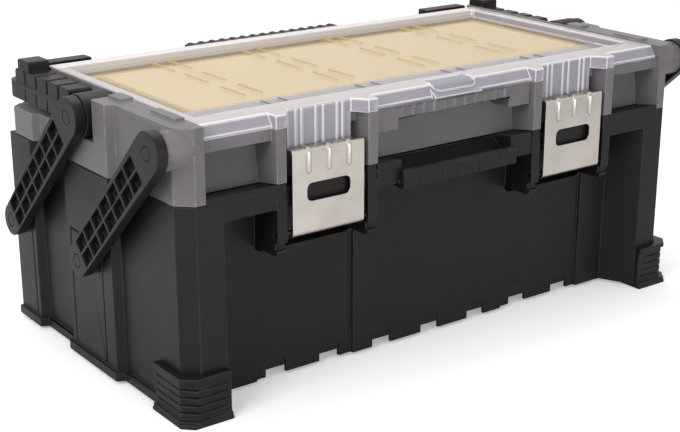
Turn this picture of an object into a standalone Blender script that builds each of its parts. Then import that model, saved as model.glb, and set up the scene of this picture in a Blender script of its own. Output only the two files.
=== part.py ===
"""Cantilever tool case: deep base, organiser tray on parallel arms, clear lid, latches and bail handle.

Metres, +Z up, front towards -Y. The origin is on the floor under the middle of the case.
"""
import math

import bmesh
import bpy
from mathutils import Matrix

# Body shell
HALF_LENGTH = 0.2675
HALF_DEPTH = 0.146
CORNER_CHAMFER = 0.012
PARTING_HEIGHT = 0.176
WALL = 0.003
GAP = 0.0003
SKIRT_LIFT = 0.003
FLOOR_HEIGHT = 0.0095
RIM_BAND = 0.016
OVERLAP = 0.001

# Base panels and posts
PANEL_SETBACK = 0.032
REAR_SETBACK = 0.010
POST_WIDTH = 0.0365
POST_DRAFT = 0.015
CHANNEL_DEPTH = 0.003
NOTCH_COUNT = 7
NOTCH_PITCH = 0.0545
NOTCH_WIDTH = 0.020
NOTCH_RECESS = 0.0012
NOTCH_HEIGHT = 0.017
NOTCH_STEP = 0.0005

# Corner feet
FOOT_HEIGHT = 0.041
FOOT_REACH = 0.0445
FOOT_SKIN = 0.0047
FOOT_LEDGE = 0.0062
FOOT_LEDGE_HEIGHT = 0.0042
FOOT_LIP = 0.0078
FOOT_LIP_HEIGHT = 0.006
FOOT_GROOVE_COUNT = 4
FOOT_GROOVE = 0.0016
FOOT_BORDER = 0.0032
FOOT_STEP = 0.0008
FOOT_GAP = 0.001

# Latches
LATCH_OFFSET = 0.1348
LATCH_WIDTH = 0.0695
LATCH_TOP = 0.205
LATCH_SHEET = 0.0015
LATCH_FRONT = 0.1475
LATCH_CURL = 0.004
LATCH_PIVOT_HEIGHT = 0.1385
LATCH_FLANGE = 0.0099
LATCH_BEND = 0.0025
LATCH_RIB_PITCH = 0.0195
LATCH_RIB_HALF = 0.002
LATCH_RIB_PROUD = 0.001
LATCH_RIB_LENGTH = 0.0185
WINDOW_WIDTH = 0.042
WINDOW_HEIGHT = 0.015
WINDOW_MIDDLE = 0.1695
WINDOW_CORNER = 0.005
LATCH_PIN_RADIUS = 0.0021
LATCH_PIN_SUNK = 0.0008
LATCH_ROOM = 0.0035
LATCH_POST_WIDTH = 0.0095
LATCH_POST_GAP = 0.079
LATCH_POST_FRONT = 0.147
LATCH_POST_NOSE = 0.0065
LATCH_POST_DROP = 0.0175
POCKET_DEPTH = 0.012
POCKET_DROP = 0.023
POCKET_CORNER = 0.008
SNAP_LOW = 0.012
SNAP_HEIGHT = 0.0055
SNAP_DEPTH = 0.004

# Front grip
GRIP_HALF = 0.0852
GRIP_BAR_HALF = 0.0625
GRIP_TROUGH_HALF = 0.0605
GRIP_FRONT = 0.152
GRIP_BAR = 0.0045
GRIP_BAR_TOP = 0.172
GRIP_BAR_LOW = 0.155
GRIP_BEVEL = 0.002
GRIP_RUN = 0.024
SEAT_CUT = 0.0005

# Cantilever arms
ARM_STANDOFF = 0.010
ARM_THICKNESS = 0.0095
ARM_SPACING = 0.130
ARM_RUN = 0.126
ARM_RISE = 0.120
ARM_LOW_FRONT = -0.005
ARM_LOW_HEIGHT = 0.0995
ARM_TOP_RADIUS = 0.017
ARM_LOW_RADIUS = 0.014
ARM_POCKET_DEPTH = 0.006
ARM_ROWS = 7
ARM_RIB = 0.0025
ARM_POCKET_HALF = 0.0122
ARM_POCKET_START = 0.0045
ARM_POCKET_END = 0.004
PIN_RADIUS = 0.0035
PIN_HEAD_RADIUS = 0.0056
PIN_HEAD = 0.0022
PIN_CLEARANCE = 0.0004
LOW_PIN_REACH = 0.0118
TOP_PIN_REACH = 0.016
HANDLE_PIN_REACH = 0.0315
PILASTER_PROUD = 0.007
PILASTER_FLARE = 0.006
PILASTER_FRONT = (-0.042, 0.037)
PILASTER_REAR = (0.102, 0.1425)
PILASTER_BOSS = 0.013
GROOVE_WIDTH = 0.0016
GROOVE_DEPTH = 0.0015
GROOVE_TOP = 0.117
GROOVE_RISE = 0.002
GROOVE_INSET = (0.017, 0.007)
LIP_PROUD = 0.003
LIP_HEIGHT = 0.008

# Tray
TRAY_LEDGE_RISE = 0.0248
TRAY_SEAT_RISE = 0.048
TRAY_RISE = 0.0605
TRAY_POST_WIDTH = 0.021
TRAY_POST_DRAFT = 0.002
TRAY_FLANGE = 0.0095
TRAY_FLANGE_FRONT = 0.1405
TRAY_FLOOR = 0.003
TRAY_WALL_FOOT = 0.1204
TRAY_WALL_HEAD = 0.1165
TRAY_BLOCK_PROUD = 0.0065
TRAY_BLOCK_FLARE = 0.0065
TRAY_BLOCK_REAR = (0.096, 0.131)
TRAY_BOSS_RADIUS = 0.0155
TRAY_BOSS_ROOT = 0.004
TRAY_LIP = 0.0025
PAD_REAR_WIDTH = 0.0125
PAD_FRONT_WIDTH = 0.009
PAD_FRONT = (-0.121, -0.084)
PAD_RISE = 0.0023
LIP_HALF = 0.061
LIP_END_HALF = 0.0845
LIP_LOW = 0.2135
LIP_END_LOW = 0.2045
LIP_RIB_COUNT = 11
LIP_RIB_HALF = 0.0016
LIP_STEP = 0.0012

# Lid
LID_CLEARANCE = 0.0007
LID_FRONT = 0.1412
LID_RIDGE = 0.135
LID_REAR = 0.117
LID_RISE = 0.0115
LID_WALL = 0.0022
DISH_BORDER = 0.0076
DISH_FRONT = 0.1148
DISH_REAR = 0.1077
DISH_DEPTH = 0.0092
DISH_DRAFT = 0.0012
TAB_HALF = 0.0305
TAB_FACE = 0.135
TAB_LOW = 0.201
TAB_RIB_OFFSETS = (0.0225, 0.017, 0.0036)
TAB_RIB = 0.0009
TAB_ROOM = 0.002
TAB_ROOM_DEPTH = 0.006
THUMB_HALF = 0.0255
THUMB_FRONT = 0.1468
HINGE_RISE = 0.0045
HINGE_RADIUS = 0.0036
HINGE_NECK = 0.0009
HINGE_NECK_RISE = 0.0034
HINGE_CLEARANCE = 0.0004
HINGE_PIN_RADIUS = 0.0015
HINGE_INSET = 0.0543
HINGE_LENGTH = 0.085
HINGE_KNUCKLE = 0.0115

# Bins
BIN_COUNT = 5
BIN_FRONT = 0.0715
BIN_REAR = 0.1035
BIN_DROP = 0.0020
BIN_FLANGE = 0.009
BIN_FLANGE_THICKNESS = 0.002
BIN_WALL = 0.0016
BIN_DRAFT = 0.003
BIN_CLEARANCE = 0.0005

# Carry handle
HANDLE_INSET = 0.0065
HANDLE_SLIT = 0.001
HANDLE_LEG = 0.0215
HANDLE_REAR = 0.152
HANDLE_BAR = 0.0205
HANDLE_LOW = 0.2075
HANDLE_BAND_TOP = 0.2225
HANDLE_BRICK_TOP = 0.2345
HANDLE_BAR_TOP = 0.2265
HANDLE_HUMP_TOP = 0.2435
HANDLE_HUMP = (0.104, 0.126)
HANDLE_SHOULDER = 0.196
HANDLE_SHOULDER_TOP = 0.2345
HANDLE_HUB_RADIUS = 0.018
HUB_CLEARANCE = 0.0015
HUB_SETBACK = 0.0005
HANDLE_CORNER = 0.016
BRICK_COUNT = 5
BRICK_START = 0.026
BRICK_PITCH = 0.0215
BRICK_GAP = 0.0025
BRICK_BEVEL = 0.002
BRICK_INSET = 0.001
BRICK_SETBACK = 0.0006
HUMP_SETBACK = 0.0012
SLOT_HALF = 0.001
SLOT_DEPTH = 0.0015
SLOT_DROP = 0.004
SLEEVE_HALF = 0.088
SLEEVE_SKIN = 0.003
SLEEVE_TOP = 0.2295
SLEEVE_RIDGES = 15
SLEEVE_CREST = 0.0012
RIDGE_FOOT_SHARE = 0.3
RIDGE_CREST_SHARE = 0.16

# Places worked out from the sizes above
PANEL_FRONT = HALF_DEPTH - PANEL_SETBACK
PANEL_REAR = HALF_DEPTH - REAR_SETBACK
POST_EDGE = HALF_LENGTH - POST_WIDTH
TRAY_BOTTOM = PARTING_HEIGHT + GAP
TRAY_LEDGE = PARTING_HEIGHT + TRAY_LEDGE_RISE
TRAY_SEAT = PARTING_HEIGHT + TRAY_SEAT_RISE
TRAY_TOP = PARTING_HEIGHT + TRAY_RISE
TRAY_POST_EDGE = HALF_LENGTH - TRAY_POST_WIDTH
ARM_INNER = HALF_LENGTH + ARM_STANDOFF
ARM_OUTER = ARM_INNER + ARM_THICKNESS
BOSS_END = ARM_INNER - GAP
ARM_TOP_HEIGHT = ARM_LOW_HEIGHT + ARM_RISE
ARM_TOP_FRONT = ARM_LOW_FRONT - ARM_RUN
ARM_LENGTH = math.hypot(ARM_RUN, ARM_RISE)
HUB_DEPTH = ARM_TOP_FRONT + ARM_SPACING
LATCH_PIVOT_DEPTH = LATCH_FRONT - LATCH_CURL
LATCH_NEAR = LATCH_OFFSET - LATCH_POST_GAP / 2
LATCH_FAR = LATCH_OFFSET + LATCH_POST_GAP / 2
POST_NEAR = LATCH_NEAR - LATCH_POST_WIDTH
POST_FAR = LATCH_FAR + LATCH_POST_WIDTH
POCKET_LOW = LATCH_PIVOT_HEIGHT - POCKET_DROP
HANDLE_HALF = ARM_INNER - HANDLE_INSET
HANDLE_INNER = HANDLE_HALF - HANDLE_LEG
END_LIP = HANDLE_INNER - HANDLE_SLIT
LID_HALF = END_LIP - TRAY_LIP - LID_CLEARANCE
LID_LOW = TRAY_SEAT + GAP
LID_TOP = TRAY_SEAT + LID_RISE
DISH_HALF = LID_HALF - DISH_BORDER
DISH_LOW = LID_TOP - DISH_DEPTH
HINGE_DEPTH = LID_REAR + HINGE_RADIUS + HINGE_NECK
HINGE_HEIGHT = TRAY_SEAT + HINGE_RISE
HINGE_FAR = LID_HALF - HINGE_INSET
HINGE_NEAR = HINGE_FAR - HINGE_LENGTH
TRAY_REAR = HINGE_DEPTH + HINGE_RADIUS + HINGE_CLEARANCE
BIN_PITCH = 2 * DISH_HALF / BIN_COUNT
BIN_TOP = DISH_LOW - BIN_DROP
HUB_POCKET = HUB_DEPTH - HANDLE_HUB_RADIUS - HUB_CLEARANCE
HANDLE_FRONT = HANDLE_REAR - HANDLE_BAR
SIDES = (("left", -1), ("right", 1))
BEYOND = 0.1
SHARP_ANGLE = math.radians(35)

MATERIALS = {
    "black_plastic": ((0.027, 0.025, 0.025, 1), 0.5, 0.0),
    "grey_plastic": ((0.185, 0.175, 0.175, 1), 0.45, 0.0),
    "clear_plastic": ((0.70, 0.68, 0.66, 1), 0.25, 0.0),
    "cream_plastic": ((0.80, 0.68, 0.42, 1), 0.45, 0.0),
    "latch_steel": ((0.58, 0.55, 0.51, 1), 0.3, 1.0),
    "pin_steel": ((0.45, 0.44, 0.43, 1), 0.35, 1.0),
}


def clear_scene():
    """Remove every object, so the script starts from an empty scene."""
    for thing in list(bpy.data.objects):
        bpy.data.objects.remove(thing, do_unlink=True)


def new_group(name):
    """A collection in the scene."""
    group = bpy.data.collections.new(name)
    bpy.context.scene.collection.children.link(group)
    return group


def finish_of(name):
    """The plain Principled material of one finish."""
    if name in bpy.data.materials:
        return bpy.data.materials[name]
    colour, roughness, metallic = MATERIALS[name]
    material = bpy.data.materials.new(name)
    material.use_nodes = True
    shader = material.node_tree.nodes["Principled BSDF"]
    shader.inputs["Base Color"].default_value = colour
    shader.inputs["Roughness"].default_value = roughness
    shader.inputs["Metallic"].default_value = metallic
    return material


def solid_from(work, name):
    """Turn a bmesh into an object among the cutters, with its faces pointing out."""
    bmesh.ops.remove_doubles(work, verts=work.verts, dist=1e-6)
    bmesh.ops.recalc_face_normals(work, faces=work.faces)
    mesh = bpy.data.meshes.new(name)
    work.to_mesh(mesh)
    work.free()
    thing = bpy.data.objects.new(name, mesh)
    thing.hide_render = True
    thing.display_type = "WIRE"
    cutters.objects.link(thing)
    return thing


def extruded(outline, low, high, along="Z", name="solid"):
    """A flat outline swept along one axis. Outlines along X are (y, z), along Y are (x, z)."""
    curve = bpy.data.curves.new(name, "CURVE")
    curve.dimensions = "2D"
    curve.fill_mode = "BOTH"
    curve.extrude = (high - low) / 2
    spline = curve.splines.new("POLY")
    spline.points.add(len(outline) - 1)
    for point, (u, v) in zip(spline.points, outline):
        point.co = (u, v, 0, 1)
    spline.use_cyclic_u = True
    holder = bpy.data.objects.new(name, curve)
    cutters.objects.link(holder)
    flat = bpy.data.meshes.new_from_object(holder.evaluated_get(bpy.context.evaluated_depsgraph_get()))
    bpy.data.objects.remove(holder)
    bpy.data.curves.remove(curve)
    work = bmesh.new()
    work.from_mesh(flat)
    bpy.data.meshes.remove(flat)
    middle = (low + high) / 2
    for vert in work.verts:
        u, v, w = vert.co
        w += middle
        vert.co = {"X": (w, u, v), "Y": (u, w, v), "Z": (u, v, w)}[along]
    return solid_from(work, name)


def box(x_range, y_range, z_range, name="box"):
    """A block between three pairs of limits."""
    work = bmesh.new()
    spans = [abs(limits[1] - limits[0]) for limits in (x_range, y_range, z_range)]
    middle = [sum(limits) / 2 for limits in (x_range, y_range, z_range)]
    shape = Matrix.Translation(middle) @ Matrix.Diagonal((*spans, 1))
    bmesh.ops.create_cube(work, size=1, matrix=shape)
    return solid_from(work, name)


def rod(x_range, depth, height, radius, segments=20, name="rod"):
    """A cylinder along X."""
    work = bmesh.new()
    turn = Matrix.Rotation(math.pi / 2, 4, "Y")
    place = Matrix.Translation((sum(x_range) / 2, depth, height)) @ turn
    bmesh.ops.create_cone(work, cap_ends=True, segments=segments, radius1=radius, radius2=radius,
                          depth=abs(x_range[1] - x_range[0]), matrix=place)
    return solid_from(work, name)


def tub(x_range, y_range, z_range, draft, name="tub"):
    """A block whose lower face is drawn in by the draft on every side."""
    thing = box(x_range, y_range, z_range, name)
    for vert in thing.data.vertices:
        if vert.co.z < sum(z_range) / 2:
            vert.co.x += draft if vert.co.x < sum(x_range) / 2 else -draft
            vert.co.y += draft if vert.co.y < sum(y_range) / 2 else -draft
    return thing


def group_of(solids, name):
    """Several solids as the separate bodies of one cutter."""
    work = bmesh.new()
    for thing in solids:
        work.from_mesh(thing.data)
        bpy.data.objects.remove(thing)
    mesh = bpy.data.meshes.new(name)
    work.to_mesh(mesh)
    work.free()
    thing = bpy.data.objects.new(name, mesh)
    thing.hide_render = True
    thing.display_type = "WIRE"
    cutters.objects.link(thing)
    return thing


def combine(target, solids, operation):
    """Join the solids to the target, or cut them out of it."""
    tool = group_of(solids, f"{target.name}_{operation.lower()}")
    step = target.modifiers.new(operation.title(), "BOOLEAN")
    step.operation = operation
    step.solver = "EXACT"
    step.use_self = True
    step.object = tool


def join(target, solids):
    combine(target, solids, "UNION")


def cut(target, solids):
    combine(target, solids, "DIFFERENCE")


def keep(thing, name, finish):
    """Make a solid one of the named pieces."""
    thing.name = name
    thing.data.name = name
    thing.hide_render = False
    thing.display_type = "TEXTURED"
    cutters.objects.unlink(thing)
    pieces.objects.link(thing)
    thing.data.materials.clear()
    thing.data.materials.append(finish_of(finish))
    thing.data.shade_smooth()
    thing.data.set_sharp_from_angle(angle=SHARP_ANGLE)
    return thing


def hang(axis_name, place, piece_names, carrier=None):
    """Put an empty on a joint's axis, under the axis that carries it, and hang the moving pieces on it."""
    axis = bpy.data.objects.new(axis_name, None)
    axis.empty_display_size = PANEL_SETBACK
    pieces.objects.link(axis)
    start = carrier["start"].to_list() if carrier else (0, 0, 0)
    axis["start"] = place
    axis.location = [here - there for here, there in zip(place, start)]
    axis.parent = carrier
    for name in piece_names:
        piece = bpy.data.objects[name]
        piece.parent = axis
        piece.location = [here - there for here, there in zip(piece.location, place)]
    return axis


def hang_moving_pieces():
    """Hang each moving piece on its joint's axis, so that turning an empty opens the case."""
    names = [thing.name for thing in pieces.objects]

    def called(*starts):
        return [name for name in names if name.startswith(starts)]

    arms = (0, ARM_LOW_FRONT + ARM_SPACING, ARM_LOW_HEIGHT)
    rear = hang("rear_arms_axis", arms, called("rear_arm"))
    hang("front_arms_axis", (0, ARM_LOW_FRONT, ARM_LOW_HEIGHT), called("front_arm"))
    hub = (0, HUB_DEPTH, ARM_TOP_HEIGHT)
    tray = hang("tray_axis", hub, called("tray", "bin", "lid_hinge"), rear)
    hang("lid_axis", (0, HINGE_DEPTH, HINGE_HEIGHT), ["lid"], tray)
    hang("handle_axis", hub, called("carry_handle", "handle_grip"), tray)
    for name, side in SIDES:
        place = (side * LATCH_OFFSET, -LATCH_PIVOT_DEPTH, LATCH_PIVOT_HEIGHT)
        hang(f"latch_axis_{name}", place, [f"latch_{name}"])


def arc(centre, radius, start, end, steps):
    """Points on an arc, angles in degrees."""
    angles = [math.radians(start + (end - start) * step / steps) for step in range(steps + 1)]
    return [(centre[0] + radius * math.cos(a), centre[1] + radius * math.sin(a)) for a in angles]


def rounded_rectangle(u_range, v_range, radius, steps=4):
    """A rectangle with round corners."""
    (u_low, u_high), (v_low, v_high) = u_range, v_range
    corners = ((u_high, v_high, -1, -1, 0), (u_low, v_high, 1, -1, 90),
               (u_low, v_low, 1, 1, 180), (u_high, v_low, -1, 1, 270))
    outline = []
    for u, v, u_in, v_in, start in corners:
        outline += arc((u + u_in * radius, v + v_in * radius), radius, start, start + 90, steps)
    return outline


def mirrored(half):
    """Close a half outline, given at +X from front to rear, with its mirror image."""
    return half + [(-x, y) for x, y in reversed(half)]


def on_both_sides(make):
    """Call make with the sign of each end, and collect what it returns."""
    return [solid for _, side in SIDES for solid in make(side)]


def span(side, near, far):
    """Limits along X on one side of the middle."""
    return (side * near, side * far) if side > 0 else (side * far, side * near)


def base_plan(inset):
    """Plan of the base walls, moved inwards by the inset."""
    corner = CORNER_CHAMFER + inset * (math.sqrt(2) - 1) - inset
    end = HALF_LENGTH - inset
    front = HALF_DEPTH - inset
    panel = PANEL_FRONT - inset
    half = [(POST_NEAR - inset, -panel), (POST_NEAR - inset, CHANNEL_DEPTH - panel),
            (POST_FAR + inset, CHANNEL_DEPTH - panel), (POST_FAR + inset, -panel),
            (POST_EDGE - POST_DRAFT + inset, -panel), (POST_EDGE + inset, -front),
            (end - corner, -front), (end, corner - front),
            (end, front - corner), (end - corner, front),
            (POST_EDGE + inset, front), (POST_EDGE - POST_DRAFT + inset, PANEL_REAR - inset)]
    return mirrored(half)


def chamfered_plan():
    """Plan of the rim, a rectangle with its corners cut."""
    half = [(HALF_LENGTH - CORNER_CHAMFER, -HALF_DEPTH), (HALF_LENGTH, CORNER_CHAMFER - HALF_DEPTH),
            (HALF_LENGTH, HALF_DEPTH - CORNER_CHAMFER), (HALF_LENGTH - CORNER_CHAMFER, HALF_DEPTH)]
    return mirrored(half)


def latch_post_profile():
    """Side view of a latch post, round at its lower front."""
    low = LATCH_PIVOT_HEIGHT - LATCH_POST_DROP
    centre = (LATCH_POST_NOSE - LATCH_POST_FRONT, low + LATCH_POST_NOSE)
    top = PARTING_HEIGHT - RIM_BAND / 2
    inside = POCKET_DEPTH - PANEL_FRONT + WALL / 2
    nose = arc(centre, LATCH_POST_NOSE, 180, 270, 5)
    return [(inside, top), (-LATCH_POST_FRONT, top)] + nose + [(inside, low)]


def latch_pocket(grow):
    """Outline of the recess behind one latch, round at its lower corners, grown on every side."""
    near, far, low = POST_NEAR - grow, POST_FAR + grow, POCKET_LOW - grow
    top = PARTING_HEIGHT - RIM_BAND + grow
    lower = [(near + POCKET_CORNER, low + POCKET_CORNER), (far - POCKET_CORNER, low + POCKET_CORNER)]
    return ([(far, top), (near, top)] + arc(lower[0], POCKET_CORNER, 180, 270, 4)
            + arc(lower[1], POCKET_CORNER, 270, 360, 4))


def pilaster_plans(side, grow=0):
    """Plans of the two raised strips on one end, front and rear."""
    root = HALF_LENGTH - WALL / 2 + grow / 10
    face = HALF_LENGTH + PILASTER_PROUD + grow
    low, high = PILASTER_FRONT
    front = [(root, low - PILASTER_FLARE - grow), (face, low - grow),
             (face, high + grow), (root, high + PILASTER_FLARE + grow)]
    low, high = PILASTER_REAR
    rear = [(root, low - PILASTER_FLARE - grow), (face, low - grow), (face, high),
            (HALF_LENGTH - CORNER_CHAMFER, high)]
    return [[(side * x, y) for x, y in plan] for plan in (front, rear)]


def end_lips(side):
    """The narrow ledge along the foot of one end, which follows the pilasters."""
    root = HALF_LENGTH - WALL / 2
    top = SKIRT_LIFT + LIP_HEIGHT
    front = FOOT_REACH - HALF_DEPTH + FOOT_GAP
    reach = span(side, root, HALF_LENGTH + LIP_PROUD)
    solids = [box(reach, (front, HALF_DEPTH - CORNER_CHAMFER), (SKIRT_LIFT, top))]
    for plan in pilaster_plans(side, LIP_PROUD):
        solids.append(extruded(plan, SKIRT_LIFT, top - GAP))
    return solids


def latch_places():
    """Limits along X of the four posts beside the latches."""
    nears = (POST_NEAR, LATCH_FAR)
    return [span(side, near, near + LATCH_POST_WIDTH) for _, side in SIDES for near in nears]


def make_base():
    """The deep moulded box with its rim, latch posts and arm pilasters."""
    base = extruded(base_plan(0), SKIRT_LIFT, PARTING_HEIGHT - RIM_BAND / 2)
    rim = extruded(chamfered_plan(), PARTING_HEIGHT - RIM_BAND, PARTING_HEIGHT)

    def strips(side):
        solids = []
        for plan in pilaster_plans(side):
            solids.append(extruded(plan, SKIRT_LIFT, PARTING_HEIGHT))
        for depth in (ARM_LOW_FRONT, ARM_LOW_FRONT + ARM_SPACING):
            limits = span(side, HALF_LENGTH, BOSS_END)
            solids.append(rod(limits, depth, ARM_LOW_HEIGHT, PILASTER_BOSS, 24))
        return solids

    join(base, [rim] + on_both_sides(strips) + on_both_sides(end_lips))
    cut(base, [extruded(base_plan(WALL), FLOOR_HEIGHT + WALL, PARTING_HEIGHT + BEYOND),
               extruded(base_plan(WALL), SKIRT_LIFT - BEYOND, FLOOR_HEIGHT)])
    join(base, rim_covers())
    back = POCKET_DEPTH - PANEL_FRONT
    cut(base, [extruded(mirror_x(latch_pocket(0), side), -HALF_DEPTH - BEYOND, back, along="Y")
               for _, side in SIDES])
    join(base, [extruded(latch_post_profile(), *limits, along="X") for limits in latch_places()])
    cut(base, rim_pockets() + base_holes())
    cut(base, floor_notches() + on_both_sides(pilaster_grooves))
    return keep(base, "base", "black_plastic")


def mirror_x(outline, side):
    """An outline given at +X, moved to the side that the sign names."""
    return [(side * x, z) for x, z in outline]


def rim_covers():
    """The rim's ledge over the corner posts and the walls of the latch pockets."""
    solids = []
    back = POCKET_DEPTH - PANEL_FRONT + WALL
    for _, side in SIDES:
        corner = span(side, POST_EDGE - POST_DRAFT, TRAY_POST_EDGE + OVERLAP)
        deep = (WALL / 2 - HALF_DEPTH, WALL - PANEL_FRONT)
        solids.append(box(corner, deep, (PARTING_HEIGHT - WALL, PARTING_HEIGHT)))
        walls = mirror_x(latch_pocket(WALL), side)
        solids.append(extruded(walls, CHANNEL_DEPTH / 2 - PANEL_FRONT, back, along="Y"))
    return solids


def pilaster_grooves(side):
    """The scored frame on the front strip of one end and the single line on the rear one."""
    face = HALF_LENGTH + PILASTER_PROUD
    deep = span(side, face - GROOVE_DEPTH, face + BEYOND)
    low = SKIRT_LIFT + LIP_HEIGHT + GROOVE_RISE
    lines = (PILASTER_FRONT[0] + GROOVE_INSET[0], PILASTER_FRONT[1] - GROOVE_INSET[1],
             PILASTER_REAR[0] + GROOVE_INSET[1])
    tops = (GROOVE_TOP, GROOVE_TOP, GROOVE_TOP - PILASTER_BOSS * 2)
    half = GROOVE_WIDTH / 2
    solids = [box(deep, (y - half, y + half), (low, top)) for y, top in zip(lines, tops)]
    solids.append(box(deep, (lines[0] - half, lines[1] + half), (GROOVE_TOP - GROOVE_WIDTH, GROOVE_TOP)))
    return solids


def rim_pockets():
    """The hollows under the front rim, the gaps for the latches, the snap notches and the grip's seat."""
    solids = []
    skirt = WALL - HALF_DEPTH
    low = PARTING_HEIGHT - RIM_BAND - 2 * OVERLAP
    for _, side in SIDES:
        bay = span(side, POST_FAR + WALL, POST_EDGE - POST_DRAFT)
        solids.append(box(bay, (skirt, -PANEL_FRONT - WALL), (low, PARTING_HEIGHT - WALL)))
        gap = span(side, LATCH_NEAR, LATCH_FAR)
        tall = (low, PARTING_HEIGHT + BEYOND)
        solids.append(box(gap, (-HALF_DEPTH - BEYOND, LATCH_ROOM - HALF_DEPTH), tall))
    snap = (LATCH_PIVOT_HEIGHT - SNAP_LOW, LATCH_PIVOT_HEIGHT - SNAP_LOW + SNAP_HEIGHT)
    for limits in latch_places():
        wide = (limits[0] - GAP, limits[1] + GAP)
        solids.append(box(wide, (-HALF_DEPTH - BEYOND, SNAP_DEPTH - LATCH_POST_FRONT), snap))
    seat = SEAT_CUT - PANEL_FRONT
    wide = GRIP_HALF + GAP
    tall = (PARTING_HEIGHT - RIM_BAND - GAP, PARTING_HEIGHT + BEYOND)
    solids.append(box((-wide, wide), (-HALF_DEPTH - BEYOND, seat), tall))
    return solids


def base_holes():
    """Holes for the latch pins and for the lower arm pins."""
    solids = []
    radius = LATCH_PIN_RADIUS + GAP
    for _, side in SIDES:
        limits = span(side, POST_NEAR - LATCH_POST_WIDTH, POST_FAR + LATCH_POST_WIDTH)
        solids.append(rod(limits, -LATCH_PIVOT_DEPTH, LATCH_PIVOT_HEIGHT, radius, 12))
        for depth in (ARM_LOW_FRONT, ARM_LOW_FRONT + ARM_SPACING):
            limits = span(side, BOSS_END - LOW_PIN_REACH - GAP, ARM_OUTER)
            solids.append(rod(limits, depth, ARM_LOW_HEIGHT, PIN_RADIUS + PIN_CLEARANCE, 16))
    return solids


def floor_notches():
    """The row of gaps in the front skirt, each under a shallow recess."""
    solids = []
    for number in range(NOTCH_COUNT):
        middle = (number - (NOTCH_COUNT - 1) / 2) * NOTCH_PITCH
        width = (middle - NOTCH_WIDTH / 2, middle + NOTCH_WIDTH / 2)
        through = (-HALF_DEPTH, CHANNEL_DEPTH + 2 * WALL - PANEL_FRONT)
        solids.append(box(width, through, (SKIRT_LIFT - BEYOND, FLOOR_HEIGHT - NOTCH_STEP)))
        inside = CHANNEL_DEPTH if POST_NEAR < abs(middle) < POST_FAR else 0
        shallow = (-HALF_DEPTH, inside + NOTCH_RECESS - PANEL_FRONT)
        solids.append(box(width, shallow, (FLOOR_HEIGHT - 2 * OVERLAP, NOTCH_HEIGHT)))
    return solids


def foot_plan(side, end, inner, outer, border=0):
    """Plan of a band on one post, between two distances from it. The front bands wrap round the corner."""
    def edge(grow):
        corner = CORNER_CHAMFER - grow * (math.sqrt(2) - 1)
        start = (POST_EDGE + GAP + border, HALF_DEPTH + grow)
        if end > 0:
            return [start, (HALF_LENGTH - CORNER_CHAMFER - border, HALF_DEPTH + grow)]
        return [start, (HALF_LENGTH - corner + grow, HALF_DEPTH + grow),
                (HALF_LENGTH + grow, HALF_DEPTH + grow - corner),
                (HALF_LENGTH + grow, HALF_DEPTH - FOOT_REACH + border)]
    band = edge(outer) + list(reversed(edge(inner)))
    return [(side * x, end * y) for x, y in band]


def sole_plan(side, end):
    """Plan of the plate that a post stands on, out to the edge of the lip."""
    reach = HALF_DEPTH - FOOT_REACH
    far = HALF_LENGTH + FOOT_LIP
    near = POST_EDGE + GAP
    if end > 0:
        far = HALF_LENGTH - CORNER_CHAMFER
        outline = [(near, HALF_DEPTH + FOOT_LIP), (far, HALF_DEPTH + FOOT_LIP)]
    else:
        corner = CORNER_CHAMFER - FOOT_LIP * (math.sqrt(2) - 1) + FOOT_LIP
        outline = [(near, HALF_DEPTH + FOOT_LIP), (far - corner + FOOT_LIP, HALF_DEPTH + FOOT_LIP),
                   (far, HALF_DEPTH + 2 * FOOT_LIP - corner)]
    outline += [(far, reach), (near, reach)]
    return [(side * x, end * y) for x, y in outline]


def make_feet():
    """Ribbed bumpers on the lower corners, each with a flat sole under its post."""
    for end_name, end in (("front", -1), ("rear", 1)):
        for side_name, side in SIDES:
            foot = extruded(sole_plan(side, end), 0, SKIRT_LIFT - GAP)
            skin = extruded(foot_plan(side, end, GAP, FOOT_SKIN), FOOT_STEP, FOOT_HEIGHT)
            lip = extruded(foot_plan(side, end, 2 * GAP, FOOT_LIP - FOOT_STEP), FOOT_STEP, FOOT_LIP_HEIGHT)
            ledge_low = FOOT_HEIGHT - FOOT_LEDGE_HEIGHT
            ledge = extruded(foot_plan(side, end, 2 * GAP, FOOT_LEDGE), ledge_low, FOOT_HEIGHT)
            join(foot, [skin, lip, ledge])
            pitch = (ledge_low - FOOT_LIP_HEIGHT + FOOT_GROOVE) / (FOOT_GROOVE_COUNT + 1)
            ring = foot_plan(side, end, FOOT_SKIN - FOOT_GROOVE, FOOT_SKIN + BEYOND / 10, FOOT_BORDER)
            grooves = []
            for number in range(1, FOOT_GROOVE_COUNT + 1):
                high = FOOT_LIP_HEIGHT + number * pitch
                grooves.append(extruded(ring, high - FOOT_GROOVE, high))
            cut(foot, grooves)
            keep(foot, f"foot_{end_name}_{side_name}", "black_plastic")


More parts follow.
